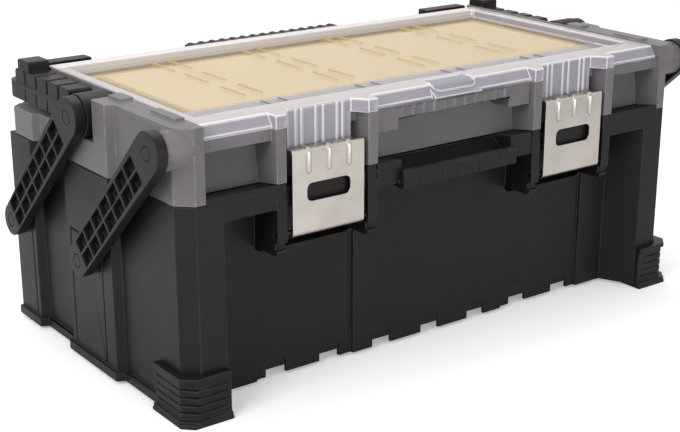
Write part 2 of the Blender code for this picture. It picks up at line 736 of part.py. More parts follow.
def make_front_grip():
    """The grip under the tray: two end blocks, a finger bar between them and the trough behind it."""
    back = SEAT_CUT - GAP - PANEL_FRONT
    top = PARTING_HEIGHT - GAP
    low = PARTING_HEIGHT - RIM_BAND
    grip = box((-GRIP_HALF, GRIP_HALF), (-HALF_DEPTH, back), (low, top))
    rear = GRIP_RUN - HALF_DEPTH
    inner = GRIP_BAR - GRIP_FRONT
    bar = [(rear, low + WALL), (rear, low), (inner, GRIP_BAR_LOW),
           (-GRIP_FRONT, GRIP_BAR_LOW + GRIP_BEVEL), (-GRIP_FRONT, GRIP_BAR_TOP - GRIP_BEVEL),
           (GRIP_BEVEL - GRIP_FRONT, GRIP_BAR_TOP), (inner, GRIP_BAR_TOP), (inner, low + WALL)]
    join(grip, [extruded(bar, -GRIP_BAR_HALF, GRIP_BAR_HALF, along="X")])
    foot = low + WALL
    trough = [(inner, top + BEYOND), (inner, foot), (inner + GRIP_BAR, foot - GRIP_BEVEL),
              (rear, top - GAP), (rear, top + BEYOND)]
    cut(grip, [extruded(trough, -GRIP_TROUGH_HALF, GRIP_TROUGH_HALF, along="X")])
    keep(grip, "front_grip", "black_plastic")


def latch_profile():
    """Side view of the latch sheet: hook flange, plate and the curl round its pin."""
    front = -LATCH_FRONT
    centre = (-LATCH_PIVOT_DEPTH, LATCH_PIVOT_HEIGHT)
    hook = LATCH_FLANGE - LATCH_FRONT
    bend = LATCH_BEND
    outer = [(hook, LATCH_TOP)] + arc((front + bend, LATCH_TOP - bend), bend, 90, 180, 3)
    curl = arc(centre, LATCH_CURL, 180, 430, 12)
    inside = list(reversed(arc(centre, LATCH_CURL - LATCH_SHEET, 180, 430, 12)))
    under = [(front + LATCH_SHEET, LATCH_TOP - bend), (front + bend, LATCH_TOP - LATCH_SHEET),
             (hook, LATCH_TOP - LATCH_SHEET)]
    return outer + curl + inside + under


def make_latches():
    """Pressed latches and the pins that they turn on."""
    for name, side in SIDES:
        middle = side * LATCH_OFFSET
        limits = (middle - LATCH_WIDTH / 2, middle + LATCH_WIDTH / 2)
        latch = extruded(latch_profile(), *limits, along="X")
        ribs = []
        crest = -LATCH_FRONT - LATCH_RIB_PROUD
        low = LATCH_TOP - LATCH_RIB_LENGTH
        top = LATCH_TOP + LATCH_RIB_PROUD
        end = LATCH_FLANGE - LATCH_FRONT - LATCH_RIB_PROUD
        outline = [(crest + LATCH_SHEET, low - LATCH_RIB_HALF), (crest, low),
                   (crest, LATCH_TOP - LATCH_SHEET), (crest + LATCH_BEND, top),
                   (end - LATCH_RIB_PROUD / 2, top), (end, LATCH_TOP - LATCH_SHEET / 2)]
        for number in (-1, 0, 1):
            rib = middle + number * LATCH_RIB_PITCH
            ribs.append(extruded(outline, rib - LATCH_RIB_HALF, rib + LATCH_RIB_HALF, along="X"))
        join(latch, ribs)
        wide = (middle - WINDOW_WIDTH / 2, middle + WINDOW_WIDTH / 2)
        tall = (WINDOW_MIDDLE - WINDOW_HEIGHT / 2, WINDOW_MIDDLE + WINDOW_HEIGHT / 2)
        window = rounded_rectangle(wide, tall, WINDOW_CORNER)
        cut(latch, [extruded(window, -HALF_DEPTH - BEYOND, LATCH_CURL - HALF_DEPTH, along="Y")])
        keep(latch, f"latch_{name}", "latch_steel")
        reach = LATCH_POST_GAP / 2 + LATCH_POST_WIDTH - LATCH_PIN_SUNK
        limits = (middle - reach, middle + reach)
        pin = rod(limits, -LATCH_PIVOT_DEPTH, LATCH_PIVOT_HEIGHT, LATCH_PIN_RADIUS, 12)
        keep(pin, f"latch_pin_{name}", "pin_steel")


def tray_low_plan():
    """Plan of the tray below the handle's ledge."""
    half = [(TRAY_POST_EDGE - TRAY_POST_DRAFT, -PANEL_FRONT), (TRAY_POST_EDGE, -HALF_DEPTH),
            (HALF_LENGTH - CORNER_CHAMFER, -HALF_DEPTH), (HALF_LENGTH, CORNER_CHAMFER - HALF_DEPTH),
            (HALF_LENGTH, HALF_DEPTH - CORNER_CHAMFER), (HALF_LENGTH - CORNER_CHAMFER, HALF_DEPTH)]
    return mirrored(half)


def tray_high_plan():
    """Plan of the tray above the ledge, drawn in to leave room for the folded handle."""
    half = [(TRAY_POST_EDGE - TRAY_POST_DRAFT, -PANEL_FRONT), (TRAY_POST_EDGE, -HALF_DEPTH),
            (HALF_LENGTH - CORNER_CHAMFER, -HALF_DEPTH), (HALF_LENGTH, CORNER_CHAMFER - HALF_DEPTH),
            (HALF_LENGTH, HUB_POCKET), (END_LIP, HUB_POCKET), (END_LIP, TRAY_REAR)]
    return mirrored(half)


def tray_end(side):
    """Bosses, raised blocks and pads on one end of the tray."""
    root = side * (HALF_LENGTH - WALL)
    face = side * (HALF_LENGTH + TRAY_BLOCK_PROUD)
    front, rear = PILASTER_FRONT
    flare = TRAY_BLOCK_FLARE
    middle = [(root, front - flare), (face, front), (face, rear), (root, rear + flare)]
    upper = [(root, front - flare), (face, front), (face, HUB_POCKET), (root, HUB_POCKET)]
    corner_front, corner_rear = TRAY_BLOCK_REAR
    corner = [(root, corner_front - flare), (face, corner_front),
              (face, corner_rear), (root, corner_rear + flare)]
    boss = span(side, TRAY_POST_EDGE + TRAY_BOSS_ROOT, BOSS_END)
    pad_edge = LID_HALF + LID_CLEARANCE + LATCH_SHEET
    pad = (TRAY_TOP - PAD_RISE, TRAY_TOP + PAD_RISE)
    return [extruded(middle, TRAY_BOTTOM, TRAY_LEDGE),
            extruded(upper, TRAY_LEDGE - WALL, TRAY_TOP),
            extruded(corner, TRAY_BOTTOM, TRAY_LEDGE),
            rod(boss, ARM_TOP_FRONT, ARM_TOP_HEIGHT, TRAY_BOSS_RADIUS, 28),
            box(span(side, pad_edge, pad_edge + PAD_REAR_WIDTH), (front, HUB_POCKET - PAD_RISE), pad),
            box(span(side, pad_edge, pad_edge + PAD_FRONT_WIDTH), PAD_FRONT, pad)]


def tray_front():
    """The recess wall, the latch pillars, the flange under the lid and the ribbed lip of the pocket."""
    inside = WALL - PANEL_FRONT
    flange_low = TRAY_SEAT - TRAY_FLANGE
    top = TRAY_SEAT + GAP
    wide = TRAY_POST_EDGE + OVERLAP
    wall = [(inside, TRAY_BOTTOM), (-TRAY_WALL_FOOT, TRAY_BOTTOM), (-TRAY_WALL_HEAD, flange_low + WALL),
            (inside, flange_low + WALL)]
    solids = [box((-wide, wide), (-TRAY_FLANGE_FRONT, inside), (flange_low, top)),
              extruded(wall, -wide, wide, along="X")]
    for limits in latch_places():
        solids.append(box(limits, (-LATCH_POST_FRONT, inside), (TRAY_BOTTOM, top)))
    lip_front = TRAY_FLANGE_FRONT + LIP_STEP
    lip_top = TRAY_SEAT - OVERLAP
    lip = (-lip_front, LATCH_CURL - lip_front)
    solids.append(box((-LIP_END_HALF, LIP_END_HALF), lip, (LIP_LOW, lip_top)))
    for _, side in SIDES:
        solids.append(box(span(side, LIP_HALF, LIP_END_HALF), (-lip_front, LIP_PROUD - TRAY_WALL_HEAD),
                          (LIP_END_LOW, lip_top)))
    rib = LIP_RIB_HALF
    for number in range(LIP_RIB_COUNT):
        place = (number / (LIP_RIB_COUNT - 1) - 0.5) * 2 * (LIP_HALF - 3 * rib)
        solids.append(box((place - rib, place + rib), (-lip_front - OVERLAP, LATCH_CURL / 2 - lip_front),
                          (LIP_LOW + OVERLAP, lip_top - OVERLAP)))
    return solids


def hinge_profile(root, low, high):
    """Side view of a hinge knuckle with a neck to its root."""
    centre = (HINGE_DEPTH, HINGE_HEIGHT)
    return arc(centre, HINGE_RADIUS, -90, 90, 7) + [(root, high), (root, low)]


def tray_knuckles():
    """The tray's half of the lid hinges."""
    solids = []
    centre = (HINGE_DEPTH, HINGE_HEIGHT)
    low = TRAY_SEAT - 2 * OVERLAP
    root = [(HINGE_DEPTH - HINGE_RADIUS, low), (HINGE_DEPTH + HINGE_RADIUS, low)]
    profile = arc(centre, HINGE_RADIUS, 0, 180, 8) + root
    for _, side in SIDES:
        for near in (HINGE_NEAR, HINGE_FAR - HINGE_KNUCKLE):
            limits = span(side, near, near + HINGE_KNUCKLE)
            solids.append(extruded(profile, *limits, along="X"))
    return solids


def tray_hollows():
    """The bin well and the hollows that keep the walls thin from below."""
    below = TRAY_BOTTOM - BEYOND
    above = TRAY_TOP + BEYOND
    well = DISH_HALF + BIN_CLEARANCE
    wide = (-well, well)
    floor = TRAY_BOTTOM + TRAY_FLOOR
    front = -BIN_FRONT - BIN_CLEARANCE
    rear = BIN_REAR + BIN_CLEARANCE
    under_seat = (below, TRAY_SEAT - WALL)
    solids = [box(wide, (front, rear), (floor, above)),
              box(wide, (rear + WALL, HALF_DEPTH - WALL), (below, TRAY_LEDGE - WALL)),
              box(wide, (rear + WALL, TRAY_REAR - WALL), under_seat),
              box(wide, (WALL - PANEL_FRONT, front - WALL), under_seat)]
    inner = well + WALL
    outer = HALF_LENGTH - WALL
    lip = LID_HALF + LID_CLEARANCE + WALL
    for _, side in SIDES:
        fore = (ARM_TOP_FRONT + TRAY_BOSS_RADIUS + WALL, HUB_POCKET - WALL)
        solids.append(box(span(side, inner, outer), fore, under_seat))
        solids.append(box(span(side, lip, outer), fore, (below, TRAY_TOP - WALL)))
        aft = (HUB_POCKET + WALL, HALF_DEPTH - CORNER_CHAMFER - WALL)
        solids.append(box(span(side, inner, outer), aft, (below, TRAY_LEDGE - WALL)))
    return solids


def tray_fits():
    """The lid's seat, the latch tab gaps and the holes for the upper arm pins and hinge pins."""
    seat = LID_HALF + LID_CLEARANCE
    solids = [box((-seat, seat), (-HALF_DEPTH - BEYOND, HALF_DEPTH), (TRAY_SEAT, TRAY_TOP + BEYOND))]
    for _, side in SIDES:
        gap = span(side, LATCH_NEAR, LATCH_FAR)
        tall = (TAB_LOW - TAB_ROOM, TRAY_TOP + BEYOND)
        solids.append(box(gap, (-HALF_DEPTH - BEYOND, TAB_ROOM_DEPTH - TAB_FACE), tall))
        limits = span(side, BOSS_END - TOP_PIN_REACH - GAP, ARM_OUTER)
        solids.append(rod(limits, ARM_TOP_FRONT, ARM_TOP_HEIGHT, PIN_RADIUS + PIN_CLEARANCE, 16))
        limits = span(side, BOSS_END - HANDLE_PIN_REACH - GAP, ARM_OUTER)
        solids.append(rod(limits, HUB_DEPTH, ARM_TOP_HEIGHT, PIN_RADIUS + PIN_CLEARANCE, 16))
    return solids


def hinge_bores():
    """Bores for the two lid hinge pins."""
    reach = 2 * OVERLAP
    return [rod(span(side, HINGE_NEAR - reach, HINGE_FAR + reach), HINGE_DEPTH, HINGE_HEIGHT,
                HINGE_PIN_RADIUS + GAP, 12) for _, side in SIDES]


def make_tray():
    """The grey organiser body."""
    tray = extruded(tray_low_plan(), TRAY_BOTTOM, TRAY_LEDGE)
    high = extruded(tray_high_plan(), TRAY_LEDGE - WALL / 2, TRAY_TOP)
    join(tray, [high] + on_both_sides(tray_end) + tray_front())
    cut(tray, tray_hollows())
    cut(tray, tray_fits())
    join(tray, tray_knuckles())
    cut(tray, hinge_bores())
    keep(tray, "tray", "grey_plastic")


def lid_plan():
    """Plan of the lid: blocks beside the latches, with slanted sides down to the faces of the tabs."""
    near, far = LATCH_OFFSET - TAB_HALF, LATCH_OFFSET + TAB_HALF
    half = [(POST_NEAR, -LID_FRONT), (POST_NEAR, -LATCH_POST_FRONT), (LATCH_NEAR, -LATCH_POST_FRONT),
            (near, -TAB_FACE), (far, -TAB_FACE), (LATCH_FAR, -LATCH_POST_FRONT),
            (POST_FAR, -LATCH_POST_FRONT), (POST_FAR, -LID_FRONT), (LID_HALF, -LID_FRONT),
            (LID_HALF, LID_REAR)]
    return mirrored(half)


def lid_hollows():
    """The room under the lid's border and panel, the sunk panel and the slope of the front skirt."""
    dish = ((-DISH_HALF, DISH_HALF), (-DISH_FRONT, DISH_REAR))
    under = box((LID_WALL - LID_HALF, LID_HALF - LID_WALL), (LID_WALL - LID_RIDGE, LID_REAR - LID_WALL),
                (LID_LOW - BEYOND, LID_TOP - LID_WALL))
    cut(under, [box(*dish, (DISH_LOW, LID_TOP))])
    plain = bpy.data.meshes.new_from_object(under.evaluated_get(bpy.context.evaluated_depsgraph_get()))
    under.modifiers.clear()
    under.data = plain
    wide = DISH_HALF - LID_WALL
    hollow = tub((-wide, wide), (LID_WALL - DISH_FRONT, DISH_REAR - LID_WALL),
                 (DISH_LOW + LID_WALL, LID_TOP + DISH_DRAFT), DISH_DRAFT)
    slope = [(-LID_FRONT, LID_LOW + LID_WALL), (-LID_RIDGE, LID_TOP), (-LID_RIDGE, LID_TOP + BEYOND),
             (-LID_FRONT - BEYOND, LID_TOP + BEYOND), (-LID_FRONT - BEYOND, LID_LOW + LID_WALL)]
    slopes = [extruded(slope, -POST_NEAR, POST_NEAR, along="X")]
    for _, side in SIDES:
        slopes.append(extruded(slope, *span(side, POST_FAR, LID_HALF + BEYOND), along="X"))
    return [under, hollow], slopes


def make_lid():
    """The clear lid: a skirted border round a sunk panel, with latch tabs and a thumb tab."""
    lid = extruded(lid_plan(), LID_LOW, LID_TOP)
    hollows, slopes = lid_hollows()
    cut(lid, hollows)
    cut(lid, slopes)
    rib = TAB_RIB
    added = []
    for _, side in SIDES:
        middle = side * LATCH_OFFSET
        added.append(box((middle - TAB_HALF, middle + TAB_HALF), (-TAB_FACE, LID_WALL - TAB_FACE),
                         (TAB_LOW, LID_TOP - LID_WALL / 2)))
        for offset in TAB_RIB_OFFSETS:
            for place in (middle - offset, middle + offset):
                added.append(box((place - rib, place + rib), (-TAB_FACE - rib, rib - TAB_FACE),
                                 (TAB_LOW + rib / 2, LID_TOP - rib)))
    thumb_low = LID_LOW + GAP
    thumb = [(LID_WALL / 2 - LID_RIDGE, LID_TOP - rib), (-THUMB_FRONT, thumb_low + LATCH_SHEET),
             (LATCH_SHEET - THUMB_FRONT, thumb_low), (LID_WALL / 2 - LID_RIDGE, thumb_low)]
    added.append(extruded(thumb, -THUMB_HALF, THUMB_HALF, along="X"))
    profile = hinge_profile(LID_REAR - LID_WALL / 2, HINGE_HEIGHT - LID_WALL,
                            HINGE_HEIGHT + HINGE_NECK_RISE)
    for _, side in SIDES:
        limits = span(side, HINGE_NEAR + HINGE_KNUCKLE + GAP, HINGE_FAR - HINGE_KNUCKLE - GAP)
        added.append(extruded(profile, *limits, along="X"))
    join(lid, added)
    cut(lid, hinge_bores())
    keep(lid, "lid", "clear_plastic")


def make_hinge_pins():
    """Plain wire pins through the lid hinges."""
    for name, side in SIDES:
        limits = span(side, HINGE_NEAR + GAP, HINGE_FAR - GAP)
        pin = rod(limits, HINGE_DEPTH, HINGE_HEIGHT, HINGE_PIN_RADIUS, 12)
        keep(pin, f"lid_hinge_pin_{name}", "pin_steel")


def make_bins():
    """Five drawn tubs with flat flanges, side by side in the well."""
    low = TRAY_BOTTOM + TRAY_FLOOR + GAP
    for number in range(BIN_COUNT):
        left = number * BIN_PITCH - DISH_HALF + GAP
        right = left + BIN_PITCH - 2 * GAP
        wide = (left + BIN_FLANGE, right - BIN_FLANGE)
        deep = (BIN_FLANGE - BIN_FRONT, BIN_REAR - BIN_FLANGE)
        tray_bin = box((left, right), (-BIN_FRONT, BIN_REAR), (BIN_TOP - BIN_FLANGE_THICKNESS, BIN_TOP))
        join(tray_bin, [tub(wide, deep, (low, BIN_TOP - BIN_FLANGE_THICKNESS / 2), BIN_DRAFT)])
        inner_wide = (wide[0] + BIN_WALL, wide[1] - BIN_WALL)
        inner_deep = (deep[0] + BIN_WALL, deep[1] - BIN_WALL)
        cut(tray_bin, [tub(inner_wide, inner_deep, (low + BIN_WALL, BIN_TOP + BIN_WALL), BIN_DRAFT)])
        keep(tray_bin, f"bin_{number + 1}", "cream_plastic")


def arm_outline(low):
    """Side view of an arm: two round ends of unlike size and the straight flanks between them."""
    lean = math.degrees(math.atan2(ARM_RISE, -ARM_RUN))
    spread = math.degrees(math.acos((ARM_LOW_RADIUS - ARM_TOP_RADIUS) / ARM_LENGTH))
    top = (low[0] - ARM_RUN, low[1] + ARM_RISE)
    return (arc(top, ARM_TOP_RADIUS, lean - spread, lean + spread, 14)
            + arc(low, ARM_LOW_RADIUS, lean + spread, lean - spread + 360, 12))


def arm_pockets(side, low):
    """The two rows of square pockets that lighten an arm's outer face."""
    lean = math.atan2(ARM_RISE, -ARM_RUN)
    start = PIN_HEAD_RADIUS + ARM_POCKET_START
    pitch = (ARM_LENGTH - start - ARM_TOP_RADIUS - ARM_POCKET_END) / ARM_ROWS
    half_width = (ARM_POCKET_HALF - ARM_RIB / 2) / 2
    solids = []
    for row in range(ARM_ROWS):
        along = start + (row + 0.5) * pitch
        for column in (-1, 1):
            across = column * (ARM_RIB / 2 + half_width)
            shape = Matrix.Diagonal((2 * ARM_POCKET_DEPTH, pitch - ARM_RIB, 2 * half_width, 1))
            place = Matrix.Translation((side * ARM_OUTER, *low)) @ Matrix.Rotation(lean, 4, "X")
            work = bmesh.new()
            place = place @ Matrix.Translation((0, along, across))
            bmesh.ops.create_cube(work, size=1, matrix=place @ shape)
            solids.append(solid_from(work, "pocket"))
    return solids


def make_arms():
    """Two pairs of lattice arms, each with a headed pin at both ends."""
    pairs = (("front", ARM_LOW_FRONT, TOP_PIN_REACH),
             ("rear", ARM_LOW_FRONT + ARM_SPACING, HANDLE_PIN_REACH))
    for pair, depth, top_reach in pairs:
        for name, side in SIDES:
            low = (depth, ARM_LOW_HEIGHT)
            top = (depth - ARM_RUN, ARM_TOP_HEIGHT)
            arm = extruded(arm_outline(low), *span(side, ARM_INNER, ARM_OUTER), along="X")
            cut(arm, arm_pockets(side, low))
            holes = []
            for y, z in (low, top):
                through = span(side, ARM_INNER - PIN_HEAD, ARM_OUTER + PIN_HEAD)
                seat = span(side, ARM_OUTER - PIN_HEAD - GAP, ARM_OUTER + PIN_HEAD)
                holes.append(rod(through, y, z, PIN_RADIUS + PIN_CLEARANCE, 16))
                holes.append(rod(seat, y, z, PIN_HEAD_RADIUS + PIN_CLEARANCE, 20))
            cut(arm, holes)
            keep(arm, f"{pair}_arm_{name}", "black_plastic")
            make_pin(f"{pair}_arm_low_pin_{name}", side, low, LOW_PIN_REACH)
            make_pin(f"{pair}_arm_top_pin_{name}", side, top, top_reach)


def make_pin(name, side, place, reach):
    """A turned pin with a flat head sunk in the arm's face."""
    length = ARM_OUTER - BOSS_END + reach
    profile = [(0, 0), (PIN_HEAD_RADIUS, 0), (PIN_HEAD_RADIUS, -PIN_HEAD), (PIN_RADIUS, -PIN_HEAD),
               (PIN_RADIUS, -length), (0, -length)]
    mesh = bpy.data.meshes.new(name)
    mesh.from_pydata([(r, 0, z) for r, z in profile], [(n, n + 1) for n in range(len(profile) - 1)], [])
    pin = bpy.data.objects.new(name, mesh)
    cutters.objects.link(pin)
    turn = pin.modifiers.new("Turn", "SCREW")
    turn.steps = 20
    turn.render_steps = 20
    turn.use_merge_vertices = True
    turn.merge_threshold = 0.00001
    pin.location = (side * ARM_OUTER, *place)
    pin.rotation_euler = (0, side * math.pi / 2, 0)
    keep(pin, name, "black_plastic")


def handle_plan():
    """Plan of the bail: two legs and a cross bar, round at the outer rear corners."""
    corner = (HANDLE_HALF - HANDLE_CORNER, HANDLE_REAR - HANDLE_CORNER)
    outside = [(HANDLE_HALF, HUB_DEPTH)] + arc(corner, HANDLE_CORNER, 0, 90, 6)
    outer = outside + [(-x, y) for x, y in reversed(outside)]
    inside = [(HANDLE_INNER, HANDLE_FRONT), (HANDLE_INNER, HUB_DEPTH)]
    return outer + [(-x, y) for x, y in reversed(inside)] + inside


def handle_leg(side):
    """Hub, bricks and corner hump on one leg."""
    hub = span(side, HANDLE_INNER + HUB_SETBACK, BOSS_END)
    solids = [rod(hub, HUB_DEPTH, ARM_TOP_HEIGHT, HANDLE_HUB_RADIUS, 28)]
    limits = span(side, HANDLE_INNER + BRICK_INSET, HANDLE_HALF - BRICK_SETBACK)
    low = HANDLE_BAND_TOP - BRICK_BEVEL
    for number in range(BRICK_COUNT):
        start = BRICK_START + number * BRICK_PITCH
        end = start + BRICK_PITCH - BRICK_GAP
        side_top = HANDLE_BRICK_TOP - BRICK_BEVEL
        brick = [(start, low), (end, low), (end, side_top), (end - BRICK_BEVEL, HANDLE_BRICK_TOP),
                 (start + BRICK_BEVEL, HANDLE_BRICK_TOP), (start, side_top)]
        solids.append(extruded(brick, *limits, along="X"))
    hump = rounded_rectangle(HANDLE_HUMP, (low, HANDLE_HUMP_TOP), BRICK_BEVEL, 2)
    limits = span(side, HANDLE_INNER + HUB_SETBACK, HANDLE_HALF - HUMP_SETBACK)
    solids.append(extruded(hump, *limits, along="X"))
    return solids


def make_handle():
    """The carry handle and the ribbed sleeve on its cross bar."""
    handle = extruded(handle_plan(), HANDLE_LOW, HANDLE_BAND_TOP)
    deep = (HANDLE_FRONT, HANDLE_REAR)
    bar_end = HANDLE_INNER - HANDLE_LEG
    bar = box((-bar_end, bar_end), deep, (HANDLE_LOW, HANDLE_BAR_TOP))
    shoulder = ((HANDLE_FRONT, HANDLE_REAR - 2 * SLEEVE_SKIN),
                (HANDLE_BAND_TOP - BRICK_BEVEL, HANDLE_SHOULDER_TOP))
    shoulders = [box(span(side, HANDLE_SHOULDER, HANDLE_INNER), *shoulder) for _, side in SIDES]
    join(handle, [bar] + shoulders + on_both_sides(handle_leg))
    waist = SLEEVE_HALF + GAP
    room = box((-waist, waist), (HANDLE_FRONT - BEYOND / 10, HANDLE_REAR + BEYOND / 10),
               (HANDLE_LOW - BEYOND / 10, SLEEVE_TOP + BEYOND / 10))
    cut(handle, [room])
    core_end = waist + SLEEVE_SKIN
    join(handle, [box((-core_end, core_end), (HANDLE_FRONT + SLEEVE_SKIN, HANDLE_REAR - SLEEVE_SKIN),
                      (HANDLE_LOW + SLEEVE_SKIN, HANDLE_BAR_TOP - GAP))])
    holes = [rod(span(side, END_LIP, ARM_OUTER), HUB_DEPTH, ARM_TOP_HEIGHT,
                 PIN_RADIUS + PIN_CLEARANCE, 16) for _, side in SIDES]
    slots = []
    for _, side in SIDES:
        for number in range(BRICK_COUNT - 1):
            place = BRICK_START + (number + 1) * BRICK_PITCH - BRICK_GAP / 2
            face = span(side, HANDLE_HALF - SLOT_DEPTH, HANDLE_HALF + BEYOND)
            slots.append(box(face, (place - SLOT_HALF, place + SLOT_HALF),
                             (HANDLE_LOW - BEYOND, HANDLE_BAND_TOP - SLOT_DROP)))
    cut(handle, holes + slots)
    keep(handle, "carry_handle", "black_plastic")
    make_sleeve()


def make_sleeve():
    """A sleeve with a row of round ridges along its top, open at both ends for the bar."""
    pitch = 2 * SLEEVE_HALF / SLEEVE_RIDGES
    wide, narrow = RIDGE_FOOT_SHARE * pitch, RIDGE_CREST_SHARE * pitch
    crest = SLEEVE_TOP + SLEEVE_CREST
    top = []
    for number in range(SLEEVE_RIDGES):
        middle = SLEEVE_HALF - (number + 0.5) * pitch
        top += [(middle + wide, SLEEVE_TOP), (middle + narrow, crest),
                (middle - narrow, crest), (middle - wide, SLEEVE_TOP)]
    outline = [(-SLEEVE_HALF, SLEEVE_TOP), (-SLEEVE_HALF, HANDLE_LOW), (SLEEVE_HALF, HANDLE_LOW),
               (SLEEVE_HALF, SLEEVE_TOP)] + top
    sleeve = extruded(outline, HANDLE_FRONT, HANDLE_REAR, along="Y")
    fit = SLEEVE_SKIN - GAP
    through = SLEEVE_HALF + BEYOND / 10
    cut(sleeve, [box((-through, through), (HANDLE_FRONT + fit, HANDLE_REAR - fit),
                     (HANDLE_LOW + fit, HANDLE_BAR_TOP))])
    keep(sleeve, "handle_grip", "black_plastic")


clear_scene()
pieces = new_group("tool_case")
cutters = new_group("cutters")
make_base()
make_feet()
make_front_grip()
make_latches()
make_tray()
make_lid()
make_hinge_pins()
make_bins()
make_arms()
make_handle()
hang_moving_pieces()
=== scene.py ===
"""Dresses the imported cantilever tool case: rounded mouldings, clear lid, cream bins, pressed latches.

Laid out as an add-on and run as a script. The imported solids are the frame, and every piece rides on one.
"""
import math

import bmesh
import bpy
from bpy.props import FloatProperty, FloatVectorProperty, PointerProperty
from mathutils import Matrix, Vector
from mathutils.bvhtree import BVHTree


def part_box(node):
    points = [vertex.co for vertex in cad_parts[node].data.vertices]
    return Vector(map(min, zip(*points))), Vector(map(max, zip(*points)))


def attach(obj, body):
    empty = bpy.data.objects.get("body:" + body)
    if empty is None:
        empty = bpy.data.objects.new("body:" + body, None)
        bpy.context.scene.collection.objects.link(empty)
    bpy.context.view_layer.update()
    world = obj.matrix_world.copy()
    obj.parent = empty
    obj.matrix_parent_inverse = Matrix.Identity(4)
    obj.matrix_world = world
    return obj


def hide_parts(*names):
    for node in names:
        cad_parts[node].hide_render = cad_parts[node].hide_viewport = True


bl_info = {
    "name": "Cantilever Tool Case",
    "version": (1, 0, 0),
    "blender": (4, 5, 0),
    "location": "View3D > Sidebar > Tool Case",
    "description": "Builds the finished look of a cantilever tool case around its packed solids",
    "category": "Object",
}

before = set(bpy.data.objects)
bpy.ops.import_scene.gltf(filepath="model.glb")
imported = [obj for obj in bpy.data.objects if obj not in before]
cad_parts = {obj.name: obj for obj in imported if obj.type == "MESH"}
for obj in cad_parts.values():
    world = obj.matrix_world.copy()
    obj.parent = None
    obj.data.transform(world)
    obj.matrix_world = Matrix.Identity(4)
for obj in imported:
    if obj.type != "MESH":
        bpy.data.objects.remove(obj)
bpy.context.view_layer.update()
SIDES = (("left", -1), ("right", 1))
BINS = 5
HALF = 0.5
WHITE = (1, 1, 1, 1)
ONE_ROW = (1, (0, 0, 0))

# Edges
# Rounded edges: real rubbed wear in the moulded finishes, a painted highlight in the lid's finish
EDGE = "rubbed_edge"
EDGE_WEIGHT = "bevel_weight_edge"
SHARP = math.radians(28)
FLAT = math.radians(0.5)
MERGE = 0.00002
ROUND_STEPS = 2

# Front rim of the base and what stands on it
RIM_TOP = 0.176
RIM_FIT = 0.0005
SILL_FRONT = -0.1458
SILL_REAR = -0.122
SILL_SPANS = ((0.0868, 0.0953), (0.1743, 0.246))
POST_SPANS = ((0.0850, 0.0960), (0.1735, 0.1845))
GRIP_SPANS = ((0.0604, 0.09),)
FINGER_RIBS = 14
FINGER_RIB_PITCH = 0.008
FINGER_RIB_RISE = 0.0085
FINGER_RIB_REACH = 0.0048
FINGER_RIB_SUNK = 1 / 3

# Latches
LATCH_RIBS = 3
LATCH_RIB_PITCH = 0.0195
LATCH_RIB_MIDDLE = (-0.1471, 0.1945)
LATCH_RIB_REACH = 0.0072

# Front bosses of the tray, in depth and height
BOSS_MIDDLE = Vector((-0.131, 0.2195))
BOSS_RADIUS = 0.0155

# Lid, with the lowest and highest place of each zone along the axes of the case
DISH = ((-0.2352, 0.2352), (-0.1124, 0.1053), (0.2255, 0.2297))
FROST = ((-0.2145, 0.2145), (-0.0735, 0.0790))
FROST_FADE = 0.004
LID_TOP = 0.2355
LID_CREST = 0.2338
LID_BACK = 0.1
PANEL_TOP = 0.2285
RIDGE_SUNK = 0.6
RIDGE_INSET = 0.0085
RIDGE_ROWS = 3
RIDGE_START = -0.034
RIDGE_END = -0.085
RIDGE_END_SHARE = 0.4

# Loop on the lid's thumb tab
LOOP_SIZE = (0.046, 0.0195)
LOOP_MIDDLE = -0.1328
LOOP_CORNER = 0.0065
LOOP_RIM = 0.0012
LOOP_FOLD = -0.1345
LOOP_SLOPE = 0.66
# Painted highlight on the thumb loop, as a share of the lid's edge highlight
LOOP_PAINTED_HIGHLIGHT = 0.45
LOOP_POINTS = 120
LOOP_CORNER_POINTS = 8

# Round bars and tubes
BAR_SIDES = 12
BAR_RINGS = 7

# What the zones of the lid add to its density, its colour and its roughness
CREST_DENSER = 0.2
BORDER_DENSER = 0.3
# Painted highlight: how far the lid's edges are whitened
EDGE_PAINTED_HIGHLIGHT = 0.8
# Painted shade: the clear ring of the panel takes the frosted cream, darkened
RING_PAINTED_SHADE = 0.8
FRONT_SHADE = 0.85
PANEL_SMOOTHER = 0.08
FROST_ROUGHER = 0.22
CLOUD_ROUGHER = 0.12

# Wear of the moulded plastic and of the steel
STREAK_SHARE = 0.4
WEAR_TINT = 0.55
WEAR_ROUGHER = 0.06
SCUFF_TINT = 0.08
SCUFF_SHADE = 0.7
SCUFF_ROUGHER = 0.1

# Stage
SENSOR = 36
FLOOR_SIZE = 6
FLOOR_GLOW = 0.3
FLOOR_ROUGHNESS = 0.9
LAMP_TARGET = Vector((0, 0, 0.12))
LAMPS = {
    "key": ((-1.45, -0.55, 1.05), (0.9, 0.9)),
    "fill": ((-0.25, -1.8, 0.36), (1.2, 0.6)),
    "top": ((0.1, 0.5, 1.6), (1.2, 1.0)),
}


def colour_property(name, description, default):
    """A colour that a user may change."""
    return FloatVectorProperty(name=name, description=description, default=default,
                               subtype="COLOR", size=3, min=0, max=1)


def length_property(name, description, default):
    """A size in metres that a user may change."""
    return FloatProperty(name=name, description=description, default=default, min=0,
                         unit="LENGTH", subtype="DISTANCE", precision=5)


def share_property(name, description, default):
    """A share from none to all that a user may change."""
    return FloatProperty(name=name, description=description, default=default, min=0, max=1,
                         subtype="FACTOR")


def power_property(name, description, default):
    """The power of a lamp that a user may change."""
    return FloatProperty(name=name, description=description, default=default, min=0, unit="POWER")


